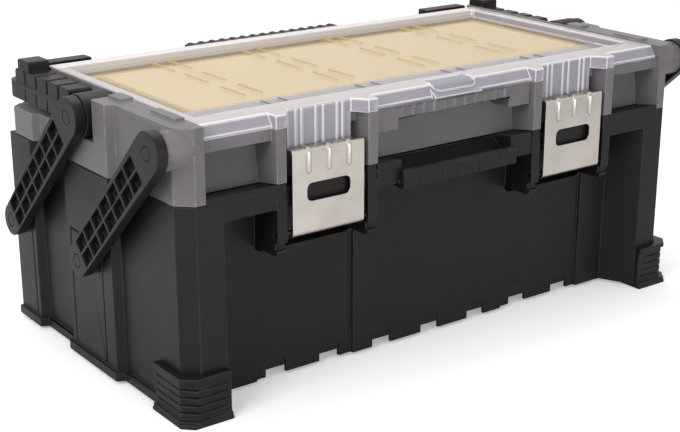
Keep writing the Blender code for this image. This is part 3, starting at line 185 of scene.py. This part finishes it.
class CaseFinishes(bpy.types.PropertyGroup):
    """Colours and sheen of the case's finishes."""

    black: colour_property("Black plastic", "Base, feet, arms and handle", (0.0112, 0.0097, 0.0092))
    black_edge: colour_property("Black edge", "Rubbed edges of the black plastic", (0.038, 0.036, 0.035))
    black_sheen: share_property("Black roughness", "Roughness of the black plastic", 0.42)
    grey: colour_property("Grey plastic", "Organiser tray", (0.170, 0.158, 0.166))
    grey_edge: colour_property("Grey edge", "Rubbed edges of the grey plastic", (0.30, 0.285, 0.30))
    grey_sheen: share_property("Grey roughness", "Roughness of the grey plastic", 0.40)
    clear: colour_property("Clear plastic", "Milky skirt and tabs of the lid", (0.57, 0.553, 0.62))
    clear_body: share_property("Lid body", "How much of the light the lid's skin stops", 0.42)
    # Colour of the painted highlight on the lid's edges and thumb loop
    clear_edge_highlight: colour_property("Lid edge", "Bright edges of the lid", (0.92, 0.90, 0.93))
    clear_sheen: share_property("Lid roughness", "Roughness of the lid's skin", 0.16)
    crest: colour_property("Lid border", "Milky plastic along the top of the lid", (0.80, 0.74, 0.73))
    clear_panel: share_property("Panel body", "How much light the clear ring of the panel stops", 0.30)
    frost: colour_property("Frosted window", "Frosted middle of the lid's panel", (0.85, 0.71, 0.47))
    frost_body: share_property("Frost", "How much of the light the frosted window stops", 0.62)
    cream: colour_property("Cream plastic", "The five bins", (0.83, 0.69, 0.42))
    cream_sheen: share_property("Cream roughness", "Roughness of the bins and the raised lines", 0.42)
    ridge: colour_property("Ridges", "The raised lines of the lid's panel", (0.47, 0.36, 0.12))
    steel: colour_property("Latch steel", "Bright pressed steel", (0.53, 0.495, 0.455))
    steel_sheen: share_property("Steel roughness", "Roughness of the latches", 0.30)
    pin: colour_property("Pin steel", "Dark wire of the pins", (0.03, 0.029, 0.028))
    pin_sheen: share_property("Pin roughness", "Roughness of the pins", 0.42)


class CaseSizes(bpy.types.PropertyGroup):
    """Small sizes of the finished surfaces."""

    edge: length_property("Edge round", "Radius of the moulded edges", 0.0007)
    foot_edge: length_property("Foot round", "Radius of the feet's edges", 0.0008)
    steel_edge: length_property("Steel edge", "Radius of the sheared steel edges", 0.0003)
    grain: length_property("Grain", "Depth of the moulded grain", 0.00006)
    ridge: length_property("Ridge", "Radius of the raised lines of the lid's panel", 0.0018)
    ridge_length: length_property("Ridge length", "Length of one raised line of the panel", 0.036)
    ridge_pitch: length_property("Ridge pitch", "From one raised line to the next", 0.057)
    sill: length_property("Sill", "How far the front sill rises over the flat rim", 0.0045)
    thumb_loop: length_property("Thumb loop", "Radius of the loop on the lid's thumb tab", 0.0011)
    latch_rib: length_property("Latch rib", "Radius of the ribs pressed in the latch plates", 0.0025)
    finger_rib: length_property("Finger rib", "Radius of the ribs on the front grip", 0.0009)


class CaseStage(bpy.types.PropertyGroup):
    """Camera and light."""

    lens: FloatProperty(name="Lens", description="Focal length on a 36 mm sensor", default=74.2,
                        min=10, unit="CAMERA")
    eye: FloatVectorProperty(name="Eye", description="Where the camera stands", size=3,
                             default=(-0.7533, -1.0001, 0.4986), subtype="TRANSLATION", unit="LENGTH")
    azimuth: FloatProperty(name="Azimuth", description="Turn of the camera round the case",
                           default=math.radians(-36.42), subtype="ANGLE")
    elevation: FloatProperty(name="Elevation", description="How far the camera looks down",
                             default=math.radians(18.49), subtype="ANGLE")
    key: power_property("Key light", "Power of the large lamp on the left", 13.5)
    fill: power_property("Fill light", "Power of the lamp in front", 10)
    top: power_property("Top light", "Power of the lamp overhead", 10.5)
    sky: FloatProperty(name="Sky", description="Strength of the white surroundings", default=0.55, min=0)
    floor: colour_property("Floor", "What the studio floor throws back at the case", (0.45, 0.45, 0.45))


class Wire:
    """A socket of a node tree. Arithmetic on it adds Math nodes."""

    def __init__(self, board, socket):
        self.board = board
        self.socket = socket

    def math(self, operation, first, second):
        return self.board.node("ShaderNodeMath", {"operation": operation}, {0: first, 1: second})

    def __add__(self, other):
        return self.math("ADD", self, other)

    def __radd__(self, other):
        return self.math("ADD", other, self)

    def __sub__(self, other):
        return self.math("SUBTRACT", self, other)

    def __rsub__(self, other):
        return self.math("SUBTRACT", other, self)

    def __mul__(self, other):
        return self.math("MULTIPLY", self, other)

    def __rmul__(self, other):
        return self.math("MULTIPLY", other, self)

    def __gt__(self, other):
        return self.math("GREATER_THAN", self, other)

    def __lt__(self, other):
        return self.math("LESS_THAN", self, other)


class Board:
    """A node tree, with the means to add nodes to it and wire them."""

    def __init__(self, tree):
        self.tree = tree

    def feed(self, socket, value):
        """Link a wire to a socket, or set its value."""
        if isinstance(value, Wire):
            self.tree.links.new(value.socket, socket)
        else:
            socket.default_value = value

    def node(self, kind, settings=None, inputs=None, output=0):
        """Any node: its settings first, then the values or wires of its sockets."""
        made = self.tree.nodes.new(kind)
        for name, value in (settings or {}).items():
            setattr(made, name, value)
        for name, value in (inputs or {}).items():
            self.feed(made.inputs[name], value)
        return Wire(self, made.outputs[output])


class Layout(Board):
    """A geometry layout whose named inputs are set on the object that it shapes."""

    def __init__(self, name, **entries):
        super().__init__(bpy.data.node_groups.new(name, "GeometryNodeTree"))
        sockets = self.tree.interface
        sockets.new_socket("Geometry", in_out="OUTPUT", socket_type="NodeSocketGeometry")
        self.values = {}
        for entry, (kind, value) in entries.items():
            socket = sockets.new_socket(entry, in_out="INPUT", socket_type=f"NodeSocket{kind}")
            self.values[socket.identifier] = value
        given = self.tree.nodes.new("NodeGroupInput").outputs
        self.entry = {entry: Wire(self, given[entry]) for entry in entries}

    def step(self, kind, settings=None, **inputs):
        """A geometry node, with its sockets by name and their spaces as underscores."""
        sockets = {name.replace("_", " "): value for name, value in inputs.items()}
        return self.node(f"GeometryNode{kind}", settings, sockets)

    def along(self, axis):
        """Where a point lies along an axis."""
        return self.node("ShaderNodeSeparateXYZ", None, {0: self.step("InputPosition")}, output=axis)

    def shift(self, geometry, **places):
        """Geometry moved along the axes that are named."""
        offset = self.node("ShaderNodeCombineXYZ", None, places)
        return self.step("SetPosition", Geometry=geometry, Offset=offset)

    def shape(self, result, finish):
        """A new object that holds the layout's result, with its finish, as its plain mesh."""
        real = self.step("RealizeInstances", Geometry=result)
        done = self.step("SetMaterial", Geometry=real, Material=finish_of(finish))
        self.feed(self.tree.nodes.new("NodeGroupOutput").inputs[0], done)
        thing = link(self.tree.name, bpy.data.meshes.new(self.tree.name))
        modifier = thing.modifiers.new("Layout", "NODES")
        modifier.node_group = self.tree
        for identifier, value in self.values.items():
            modifier[identifier] = value
        return settle(thing)


class Finish(Board):
    """One finish: a material with its Principled shader, and the nodes that feed it."""

    def __init__(self, name):
        self.material = bpy.data.materials.new(name)
        self.material.use_nodes = True
        super().__init__(self.material.node_tree)
        self.shader = self.tree.nodes["Principled BSDF"]
        self.place = self.node("ShaderNodeTexCoord", output="Object")

    def noise(self, cells, detail, stretch=None):
        """Cloudy variation from 0 to 1, with so many cells in a metre."""
        place = self.place
        if stretch:
            place = self.node("ShaderNodeMapping", None, {"Vector": place, "Scale": stretch})
        return self.node("ShaderNodeTexNoise", None, {"Vector": place, "Scale": cells, "Detail": detail})

    def ramp(self, value, low, high):
        """The value stretched so that low becomes 0 and high becomes 1."""
        return self.node("ShaderNodeMapRange", None,
                         {"Value": value, "From Min": low, "From Max": high})

    def sway(self, value, amount):
        """A value from 0 to 1 as a change by an amount, half of it down and half up."""
        return amount * (value - HALF)

    def blend(self, factor, first, second):
        """One colour passing into another."""
        return self.node("ShaderNodeMix", {"data_type": "RGBA"},
                         {0: factor, 6: first, 7: second}, output=2)

    def shades(self, factor, colour, dark, pale):
        """A colour passing from a dark shade of itself into a pale one."""
        return self.blend(factor, opaque(colour, dark), opaque(colour, pale))

    def along(self, axis):
        """The distance along one axis of the case, in metres."""
        return self.node("ShaderNodeSeparateXYZ", None, {0: self.place}, output=axis)

    def within(self, axis, low, high):
        """1 between two places along an axis of the case, and 0 elsewhere."""
        place = self.along(axis)
        return (place > low) * (place < high)

    def fading(self, axis, low, high, run):
        """1 between two places along an axis of the case, fading to 0 over a run at either end."""
        place = self.along(axis)
        return self.ramp(place, low - run, low + run) * self.ramp(place, high + run, high - run)

    def attribute(self, name):
        """A value kept on the piece's own mesh."""
        return self.node("ShaderNodeAttribute", {"attribute_name": name}, output="Fac")

    def bump(self, height, distance, strength):
        """Small relief on the surface."""
        return self.node("ShaderNodeBump", None,
                         {"Height": height, "Distance": distance, "Strength": strength})

    def finish(self, **values):
        """Set the shader's sockets, by name with spaces as underscores, and give back the material."""
        for name, value in values.items():
            self.feed(self.shader.inputs[name.replace("_", " ")], value)
        return self.material


def opaque(colour, shade=1.0):
    """A colour of a property group as a node's four numbers."""
    return (*(part * shade for part in colour), 1)


def moulded_finish(name, colour, edge_colour, roughness, grain):
    """Injection moulded plastic: fine grain, cloudy sheen, paler where the edges are rubbed."""
    board = Finish(name)
    cloud = board.noise(cells=14, detail=3)
    streak = board.noise(cells=30, detail=3, stretch=(1, 1, 0.12))
    speck = board.noise(cells=1900, detail=1)
    wear = board.attribute(EDGE) * board.ramp(board.noise(cells=70, detail=4), low=0.38, high=0.62)
    drift = board.ramp(cloud + STREAK_SHARE * streak, low=0.45, high=0.95)
    body = board.shades(drift, colour, dark=0.88, pale=1.12)
    tone = board.blend(WEAR_TINT * wear, body, opaque(edge_colour))
    sheen = roughness + board.sway(cloud, amount=0.14) + board.sway(speck, amount=0.10)
    sheen = sheen + WEAR_ROUGHER * wear
    relief = board.bump(speck, distance=grain, strength=0.6)
    return board.finish(Base_Color=tone, Roughness=sheen, Normal=relief, Specular_IOR_Level=0.2)


def clear_finish(name, look):
    """Milky see-through plastic: denser along its border and edges, clear round a frosted window, with a
    painted highlight whitening its edges and thumb loop and painted shade tinting its clear ring a darker
    cream.
    """
    board = Finish(name)
    cloud = board.noise(cells=11, detail=3)
    speck = board.noise(cells=900, detail=2)
    half_width, half_depth = (size / 2 - LOOP_RIM for size in LOOP_SIZE)
    in_loop = board.within(0, -half_width, half_width)
    in_loop = in_loop * board.within(1, LOOP_MIDDLE - half_depth, LOOP_MIDDLE + half_depth)
    # Painted highlight mask: the rounded edges and the thumb loop, not inside the loop; it also thickens
    # them
    edge = board.attribute(EDGE) * (1 - in_loop)
    sunk = board.within(0, *DISH[0]) * board.within(1, *DISH[1]) * board.within(2, *DISH[2])
    frost = sunk * board.fading(0, *FROST[0], FROST_FADE) * board.fading(1, *FROST[1], FROST_FADE)
    front = sunk * (board.along(1) < FROST[1][0])
    crest = (board.along(2) > LID_CREST) * (1 - in_loop)
    rear = (board.along(1) > LID_BACK) * (1 - sunk)
    tone = board.shades(board.ramp(cloud, low=0.3, high=0.7), look.clear, dark=0.95, pale=1.04)
    tone = board.blend(crest + rear > HALF, tone, opaque(look.crest))
    # Painted shade: the clear ring takes a darker cream for the shaded bins seen through it
    tone = board.blend(sunk - front > HALF, tone, opaque(look.frost, RING_PAINTED_SHADE))
    tone = board.blend(front, tone, opaque(look.clear, FRONT_SHADE))
    tone = board.blend(frost, tone, opaque(look.frost))
    # Painted highlight along the lid's edges, outside the frosted window
    tone = board.blend(EDGE_PAINTED_HIGHLIGHT * edge * (1 - frost), tone, opaque(look.clear_edge_highlight))
    body = look.clear_body
    panel = look.clear_panel
    density = body + (panel - body) * sunk + (look.frost_body - panel) * frost
    density = density + CREST_DENSER * crest + BORDER_DENSER * (rear + front + edge)
    density = density + board.sway(cloud, amount=0.06)
    sheen = look.clear_sheen - PANEL_SMOOTHER * sunk + FROST_ROUGHER * frost + CLOUD_ROUGHER * cloud
    relief = board.bump(speck, distance=0.00002, strength=0.4)
    return board.finish(Base_Color=tone, Roughness=sheen, Alpha=density, Normal=relief,
                        Specular_IOR_Level=0.25)


def cream_finish(name, colour, roughness):
    """Dyed polypropylene with a soft bloom."""
    board = Finish(name)
    cloud = board.noise(cells=22, detail=3)
    speck = board.noise(cells=1300, detail=1)
    tone = board.shades(board.ramp(cloud, low=0.3, high=0.7), colour, dark=0.94, pale=1.05)
    sheen = roughness + board.sway(cloud, amount=0.14) + board.sway(speck, amount=0.08)
    relief = board.bump(speck, distance=0.00004, strength=0.5)
    return board.finish(Base_Color=tone, Roughness=sheen, Normal=relief)


def steel_finish(name, colour, roughness):
    """Bright plated steel with fine rolling lines and a little handling wear."""
    board = Finish(name)
    cloud = board.noise(cells=45, detail=3)
    lines = board.noise(cells=700, detail=2, stretch=(0.05, 1, 1))
    scuff = board.ramp(board.noise(cells=260, detail=5, stretch=(1, 1, 0.3)), low=0.60, high=0.72)
    tone = board.shades(board.ramp(cloud, low=0.3, high=0.7), colour, dark=0.92, pale=1.05)
    tone = board.blend(SCUFF_TINT * scuff, tone, opaque(colour, SCUFF_SHADE))
    sheen = roughness + board.sway(cloud, amount=0.12) + board.sway(lines, amount=0.12)
    sheen = sheen + SCUFF_ROUGHER * scuff
    relief = board.bump(lines, distance=0.00003, strength=0.35)
    return board.finish(Base_Color=tone, Roughness=sheen, Metallic=1.0, Normal=relief)


def finish_of(name):
    """A finish by name, made when it is first asked for."""
    if name in bpy.data.materials:
        return bpy.data.materials[name]
    look = bpy.context.scene.case_finishes
    grain = bpy.context.scene.case_sizes.grain
    if name == "black_moulding":
        return moulded_finish(name, look.black, look.black_edge, look.black_sheen, grain)
    if name == "grey_moulding":
        return moulded_finish(name, look.grey, look.grey_edge, look.grey_sheen, grain)
    if name == "milky_lid":
        return clear_finish(name, look)
    if name == "cream_bin":
        return cream_finish(name, look.cream, look.cream_sheen)
    if name == "amber_ridge":
        return cream_finish(name, look.ridge, look.cream_sheen)
    if name == "latch_plate":
        return steel_finish(name, look.steel, look.steel_sheen)
    if name == "dark_pin":
        return steel_finish(name, look.pin, look.pin_sheen)
    raise RuntimeError(f"there is no finish called {name}")


def link(name, data):
    """A new object at the origin, in the scene."""
    thing = bpy.data.objects.new(name, data)
    bpy.context.scene.collection.objects.link(thing)
    return thing


def made_of(work, name):
    """A new object that holds a worked mesh, which is then let go."""
    mesh = bpy.data.meshes.new(name)
    work.to_mesh(mesh)
    work.free()
    return link(name, mesh)


def settle(thing):
    """Turn an object's modifiers into its plain mesh."""
    bpy.context.view_layer.update()
    plain = bpy.data.meshes.new_from_object(thing.evaluated_get(bpy.context.evaluated_depsgraph_get()))
    old = thing.data
    thing.modifiers.clear()
    thing.data = plain
    bpy.data.meshes.remove(old)
    return thing


def mark_rounds(mesh):
    """Keep on the mesh which faces are rounded edges, and leave it one material slot."""
    rounds = mesh.attributes.new(EDGE, "FLOAT", "CORNER")
    for face in mesh.polygons:
        for corner in face.loop_indices:
            rounds.data[corner].value = float(face.material_index == 1)
        face.material_index = 0
    mesh.materials.pop(index=1)


def pull_back(mesh, skin, reach):
    """Lay back on the unrounded skin each corner that the rounding threw further than its reach."""
    for vert in mesh.vertices:
        place, _, _, gap = skin.find_nearest(vert.co)
        if gap > reach:
            vert.co = place


def on_boss(vert):
    """Whether a corner lies on the round of the tray's front bosses."""
    return abs((vert.co.yz - BOSS_MIDDLE).length - BOSS_RADIUS) < RIM_FIT


def pick_edges(mesh):
    """Weigh the sharp edges for rounding, but not the thin seams round the bosses."""
    work = bmesh.new()
    work.from_mesh(mesh)
    weight = work.edges.layers.float.new(EDGE_WEIGHT)
    for edge in work.edges:
        sharp = edge.is_manifold and edge.calc_face_angle() > SHARP
        edge[weight] = float(sharp and not all(on_boss(vert) for vert in edge.verts))
    work.to_mesh(mesh)
    work.free()


def round_edges(thing, finish, width):
    """Round every sharp edge, and shade the flats flat."""
    corners = [vert.co.copy() for vert in thing.data.vertices]
    skin = BVHTree.FromPolygons(corners, [list(face.vertices) for face in thing.data.polygons])
    pick_edges(thing.data)
    thing.data.materials.clear()
    for _ in range(2):
        thing.data.materials.append(finish)
    for face in thing.data.polygons:
        face.material_index = 0
        face.use_smooth = True
    rounding = thing.modifiers.new("Round", "BEVEL")
    rounding.width = width
    rounding.segments = ROUND_STEPS
    rounding.limit_method = "WEIGHT"
    rounding.use_clamp_overlap = False
    rounding.material = 1
    rounding.miter_outer = "MITER_ARC"
    settle(thing)
    pull_back(thing.data, skin, width)
    shade = thing.modifiers.new("Shade", "WEIGHTED_NORMAL")
    shade.keep_sharp = True
    settle(thing)
    mark_rounds(thing.data)
    return thing


def merged_copy(node, name):
    """A CAD node's shape as one closed mesh of flat faces."""
    work = bmesh.new()
    work.from_mesh(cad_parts[node].data)
    bmesh.ops.remove_doubles(work, verts=work.verts, dist=MERGE)
    bmesh.ops.dissolve_limit(work, angle_limit=FLAT, verts=work.verts, edges=work.edges)
    bmesh.ops.connect_verts_concave(work, faces=work.faces)
    return made_of(work, name)


def fit(thing, body, slot, *nodes):
    """Let a finished piece ride on its body, in the place of the nodes that it stands for."""
    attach(thing, body)
    if nodes:
        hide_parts(*nodes)
    return thing


def dress(node, body, finish, slot, width=None, raised=()):
    """Replace a CAD node by its own shape with rounded edges and a real finish."""
    thing = merged_copy(node, f"{node}_dressed")
    raise_to_sill(thing.data, raised)
    round_edges(thing, finish_of(finish), width or bpy.context.scene.case_sizes.edge)
    return fit(thing, body, slot, node)


def dress_black(node, body, width=None, raised=()):
    """Replace a CAD node of black plastic."""
    return dress(node, body, "black_moulding", "black_plastic", width, raised)


def sill_lift(depth):
    """How far the front sill stands over the flat rim, at a distance behind the middle."""
    return max(0, (SILL_REAR - depth) / (SILL_REAR - SILL_FRONT)) * bpy.context.scene.case_sizes.sill


def raise_to_sill(mesh, spans):
    """Lift the corners of a piece that rests on the rim, or closes it, to the slope of the sill."""
    for vert in mesh.vertices:
        near_rim = abs(vert.co.z - RIM_TOP) < RIM_FIT
        if near_rim and any(near < abs(vert.co.x) < far for near, far in spans):
            vert.co.z += sill_lift(vert.co.y)


def wedge(name, near, far):
    """A closed block on the flat rim, with the slope of the sill."""
    work = bmesh.new()
    low = RIM_TOP - RIM_FIT
    high = RIM_TOP + sill_lift(SILL_FRONT)
    outline = ((SILL_FRONT, low), (SILL_FRONT, high), (SILL_REAR, RIM_TOP), (SILL_REAR, low))
    ends = [[work.verts.new((x, y, z)) for y, z in outline] for x in (near, far)]
    work.faces.new(ends[0])
    work.faces.new(reversed(ends[1]))
    for number in range(len(outline)):
        work.faces.new((ends[0][number - 1], ends[1][number - 1], ends[1][number], ends[0][number]))
    bmesh.ops.recalc_face_normals(work, faces=work.faces)
    return made_of(work, name)


def bars(name, finish, start, rows, columns, reach, radius):
    """Round-ended bars laid out in rows and columns, each given as a count and the step to the next."""
    way = Vector(reach)
    turn = Vector(way.to_track_quat("Z", "Y").to_euler())
    layout = Layout(name, Start=("Vector", start), Half=("Float", way.length), Turn=("Vector", turn),
                    Radius=("Float", radius), Rows=("Int", rows[0]), Down=("Vector", rows[1]),
                    Columns=("Int", columns[0]), Across=("Vector", columns[1]))
    given = layout.entry
    ball = layout.step("MeshUVSphere", Segments=BAR_SIDES, Rings=BAR_RINGS, Radius=given["Radius"])
    above = layout.along("Z") > 0
    bar = layout.shift(ball, Z=(2 * above - 1) * given["Half"])
    smooth = layout.step("SetShadeSmooth", Geometry=bar)
    places = layout.step("MeshLine", Count=given["Rows"], Start_Location=given["Start"],
                         Offset=given["Down"])
    row = layout.step("InstanceOnPoints", Points=places, Instance=smooth, Rotation=given["Turn"])
    places = layout.step("MeshLine", Count=given["Columns"], Offset=given["Across"])
    grid = layout.step("InstanceOnPoints", Points=places, Instance=row)
    return layout.shape(grid, finish)


def thumb_loop(name, finish, radius):
    """The raised loop of the lid's thumb tab: a rounded rectangle that lies on the border and the tab."""
    layout = Layout(name, Width=("Float", LOOP_SIZE[0]), Depth=("Float", LOOP_SIZE[1]),
                    Corner=("Float", LOOP_CORNER), Radius=("Float", radius))
    given = layout.entry
    path = layout.step("CurvePrimitiveQuadrilateral", Width=given["Width"], Height=given["Depth"])
    path = layout.step("FilletCurve", {"mode": "POLY"}, Curve=path, Radius=given["Corner"],
                       Count=LOOP_CORNER_POINTS)
    path = layout.step("ResampleCurve", Curve=path, Count=LOOP_POINTS)
    depth = layout.along("Y")
    drop = LOOP_SLOPE * depth.math("MAXIMUM", LOOP_FOLD - LOOP_MIDDLE - depth, 0)
    path = layout.shift(path, Y=LOOP_MIDDLE, Z=LID_TOP - drop)
    ring = layout.step("CurvePrimitiveCircle", Resolution=BAR_SIDES, Radius=given["Radius"])
    tube = layout.step("CurveToMesh", Curve=path, Profile_Curve=ring)
    tube = layout.step("SetShadeSmooth", Geometry=tube)
    # Marks the loop for the lid's painted edge highlight
    tube = layout.step("StoreNamedAttribute", Geometry=tube, Name=EDGE, Value=LOOP_PAINTED_HIGHLIGHT)
    return layout.shape(tube, finish)


class CASE_OT_stage(bpy.types.Operator):
    """Make the camera, the pale floor and the soft studio light"""

    bl_idname = "case.stage"
    bl_label = "Stage"

    def camera(self, stage):
        """The camera at the photograph's viewing angle."""
        view = bpy.data.cameras.new("photo_camera")
        view.lens = stage.lens
        view.sensor_width = SENSOR
        camera = link("photo_camera", view)
        camera.location = stage.eye
        camera.rotation_euler = (math.pi / 2 - stage.elevation, 0, stage.azimuth)
        bpy.context.scene.camera = camera

    def lamp(self, name, place, size, power):
        """A soft rectangular lamp that faces the case."""
        light = bpy.data.lights.new(name, "AREA")
        light.shape = "RECTANGLE"
        light.size, light.size_y = size
        light.energy = power
        thing = link(name, light)
        thing.location = place
        thing.rotation_euler = (LAMP_TARGET - Vector(place)).to_track_quat("-Z", "Y").to_euler()

    def seen(self, board):
        """1 where the eye looks straight, by a reflection or through clear plastic, and else 0."""
        camera, glossy, clear = (board.node("ShaderNodeLightPath", output=f"Is {kind} Ray")
                                 for kind in ("Camera", "Glossy", "Transmission"))
        return camera + glossy + clear > HALF

    def floor(self, colour):
        """A plain floor that is white to the eye and throws a softer light on the case."""
        work = bmesh.new()
        bmesh.ops.create_grid(work, x_segments=1, y_segments=1, size=FLOOR_SIZE)
        ground = made_of(work, "floor")
        board = Finish("studio_floor")
        camera = board.node("ShaderNodeLightPath", output="Is Camera Ray")
        tone = board.blend(self.seen(board), opaque(colour), WHITE)
        board.finish(Base_Color=tone, Roughness=FLOOR_ROUGHNESS, Emission_Color=camera,
                     Emission_Strength=FLOOR_GLOW)
        ground.data.materials.append(board.material)

    def sky(self, scene, strength):
        """Surroundings that are white to the eye and light the case at their own strength."""
        world = scene.world or bpy.data.worlds.new("studio")
        scene.world = world
        world.use_nodes = True
        light = world.node_tree.nodes["Background"].inputs
        board = Board(world.node_tree)
        board.feed(light["Color"], WHITE)
        board.feed(light["Strength"], strength + (1 - strength) * self.seen(board))

    def execute(self, context):
        stage = context.scene.case_stage
        context.scene.view_settings.view_transform = "Standard"
        self.camera(stage)
        self.floor(stage.floor)
        self.sky(context.scene, stage.sky)
        for name, (place, size) in LAMPS.items():
            self.lamp(f"{name}_lamp", place, size, getattr(stage, name))
        return {"FINISHED"}


class CASE_OT_base(bpy.types.Operator):
    """Dress the base box, its four feet, the front grip and the front sill"""

    bl_idname = "case.base"
    bl_label = "Base and feet"

    def execute(self, context):
        sizes = context.scene.case_sizes
        dress_black("base", "base")
        for end in ("front", "rear"):
            for side, _ in SIDES:
                dress_black(f"foot_{end}_{side}", "base", sizes.foot_edge)
        dress_black("front_grip", "base", raised=GRIP_SPANS)
        for side, sign in SIDES:
            for number, (near, far) in enumerate(SILL_SPANS, start=1):
                sill = wedge(f"sill_{side}_{number}", *sorted((sign * near, sign * far)))
                round_edges(sill, finish_of("black_moulding"), sizes.steel_edge)
                fit(sill, "base", "black_plastic")
        low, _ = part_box("front_grip")
        first = -(FINGER_RIBS - 1) / 2 * FINGER_RIB_PITCH
        start = (first, low.y + FINGER_RIB_SUNK * sizes.finger_rib, low.z + FINGER_RIB_RISE)
        columns = (FINGER_RIBS, (FINGER_RIB_PITCH, 0, 0))
        ribs = bars("finger_ribs", "black_moulding", start, ONE_ROW, columns,
                    (0, 0, FINGER_RIB_REACH), sizes.finger_rib)
        fit(ribs, "base", "black_plastic")
        return {"FINISHED"}


class CASE_OT_latches(bpy.types.Operator):
    """Dress the two pressed latches, their ribs and their pins"""

    bl_idname = "case.latches"
    bl_label = "Latches"

    def execute(self, context):
        sizes = context.scene.case_sizes
        columns = (LATCH_RIBS, (LATCH_RIB_PITCH, 0, 0))
        for side, _ in SIDES:
            latch = f"latch_{side}"
            dress(latch, latch, "latch_plate", "latch_steel", sizes.steel_edge)
            dress(f"latch_pin_{side}", "base", "dark_pin", "pin_steel", sizes.steel_edge)
            low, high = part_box(latch)
            first = (low.x + high.x) / 2 - (LATCH_RIBS - 1) / 2 * LATCH_RIB_PITCH
            start = (first, *LATCH_RIB_MIDDLE)
            ribs = bars(f"latch_ribs_{side}", "latch_plate", start, ONE_ROW, columns,
                        (0, 0, LATCH_RIB_REACH), sizes.latch_rib)
            fit(ribs, latch, "latch_steel")
        return {"FINISHED"}


class CASE_OT_tray(bpy.types.Operator):
    """Dress the grey organiser tray and the hinge pins in it"""

    bl_idname = "case.tray"
    bl_label = "Tray"

    def execute(self, context):
        edge = context.scene.case_sizes.steel_edge
        dress("tray", "tray", "grey_moulding", "grey_plastic", raised=POST_SPANS)
        for side, _ in SIDES:
            dress(f"lid_hinge_pin_{side}", "tray", "dark_pin", "pin_steel", edge)
        return {"FINISHED"}


class CASE_OT_bins(bpy.types.Operator):
    """Dress the five cream bins"""

    bl_idname = "case.bins"
    bl_label = "Bins"

    def execute(self, context):
        for number in range(1, BINS + 1):
            dress(f"bin_{number}", "tray", "cream_bin", "cream_plastic")
        return {"FINISHED"}


class CASE_OT_lid(bpy.types.Operator):
    """Dress the clear lid, with its thumb loop and the raised lines of its panel"""

    bl_idname = "case.lid"
    bl_label = "Lid"

    def execute(self, context):
        sizes = context.scene.case_sizes
        dress("lid", "lid", "milky_lid", "clear_plastic")
        fit(thumb_loop("thumb_loop", "milky_lid", sizes.thumb_loop), "lid", "clear_plastic")
        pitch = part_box("bin_2")[0].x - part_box("bin_1")[0].x
        columns = (BINS - 1, (pitch, 0, 0))
        half = sizes.ridge_length / 2
        height = PANEL_TOP - RIDGE_SUNK * sizes.ridge
        rows = (RIDGE_ROWS, (0, sizes.ridge_pitch, 0))
        for side, sign in SIDES:
            first = -(BINS - 2) / 2 * pitch + sign * RIDGE_INSET
            lines = bars(f"panel_ridges_{side}", "amber_ridge", (first, RIDGE_START, height),
                         rows, columns, (0, half, 0), sizes.ridge)
            fit(lines, "lid", "clear_plastic")
            marks = bars(f"panel_ridge_ends_{side}", "grey_moulding", (first, RIDGE_END, height),
                         ONE_ROW, columns, (0, RIDGE_END_SHARE * half, 0), sizes.ridge)
            fit(marks, "lid", "clear_plastic")
        return {"FINISHED"}


class CASE_OT_arms(bpy.types.Operator):
    """Dress the four lattice arms and their pins"""

    bl_idname = "case.arms"
    bl_label = "Arms"

    def execute(self, context):
        for pair in ("front", "rear"):
            for side, _ in SIDES:
                dress_black(f"{pair}_arm_{side}", f"{pair}_arms")
                for end in ("low", "top"):
                    dress_black(f"{pair}_arm_{end}_pin_{side}", f"{pair}_arms")
        return {"FINISHED"}


class CASE_OT_handle(bpy.types.Operator):
    """Dress the carry handle and its ridged sleeve"""

    bl_idname = "case.handle"
    bl_label = "Carry handle"

    def execute(self, context):
        dress_black("carry_handle", "handle")
        dress_black("handle_grip", "handle")
        return {"FINISHED"}


class CASE_PT_panel(bpy.types.Panel):
    """Sidebar list of the case's pieces, sizes and finishes"""

    bl_idname = "CASE_PT_panel"
    bl_label = "Tool Case"
    bl_space_type = "VIEW_3D"
    bl_region_type = "UI"
    bl_category = "Tool Case"

    def draw(self, context):
        for operator in OPERATORS:
            self.layout.operator(operator.bl_idname)
        for group in GROUPS:
            values = getattr(context.scene, group)
            for name in values.__annotations__:
                self.layout.prop(values, name)


OPERATORS = (CASE_OT_stage, CASE_OT_base, CASE_OT_latches, CASE_OT_tray, CASE_OT_bins, CASE_OT_lid,
             CASE_OT_arms, CASE_OT_handle)
GROUPS = {"case_finishes": CaseFinishes, "case_sizes": CaseSizes, "case_stage": CaseStage}


def register():
    for group in GROUPS.values():
        bpy.utils.register_class(group)
    for name, group in GROUPS.items():
        setattr(bpy.types.Scene, name, PointerProperty(type=group))
    for kind in (*OPERATORS, CASE_PT_panel):
        bpy.utils.register_class(kind)


def unregister():
    for kind in (CASE_PT_panel, *reversed(OPERATORS)):
        bpy.utils.unregister_class(kind)
    for name, group in GROUPS.items():
        delattr(bpy.types.Scene, name)
        bpy.utils.unregister_class(group)


def main():
    """Build every piece."""
    register()
    for operator in OPERATORS:
        group, name = operator.bl_idname.split(".")
        getattr(getattr(bpy.ops, group), name)()


if __name__ == "__main__":
    main()
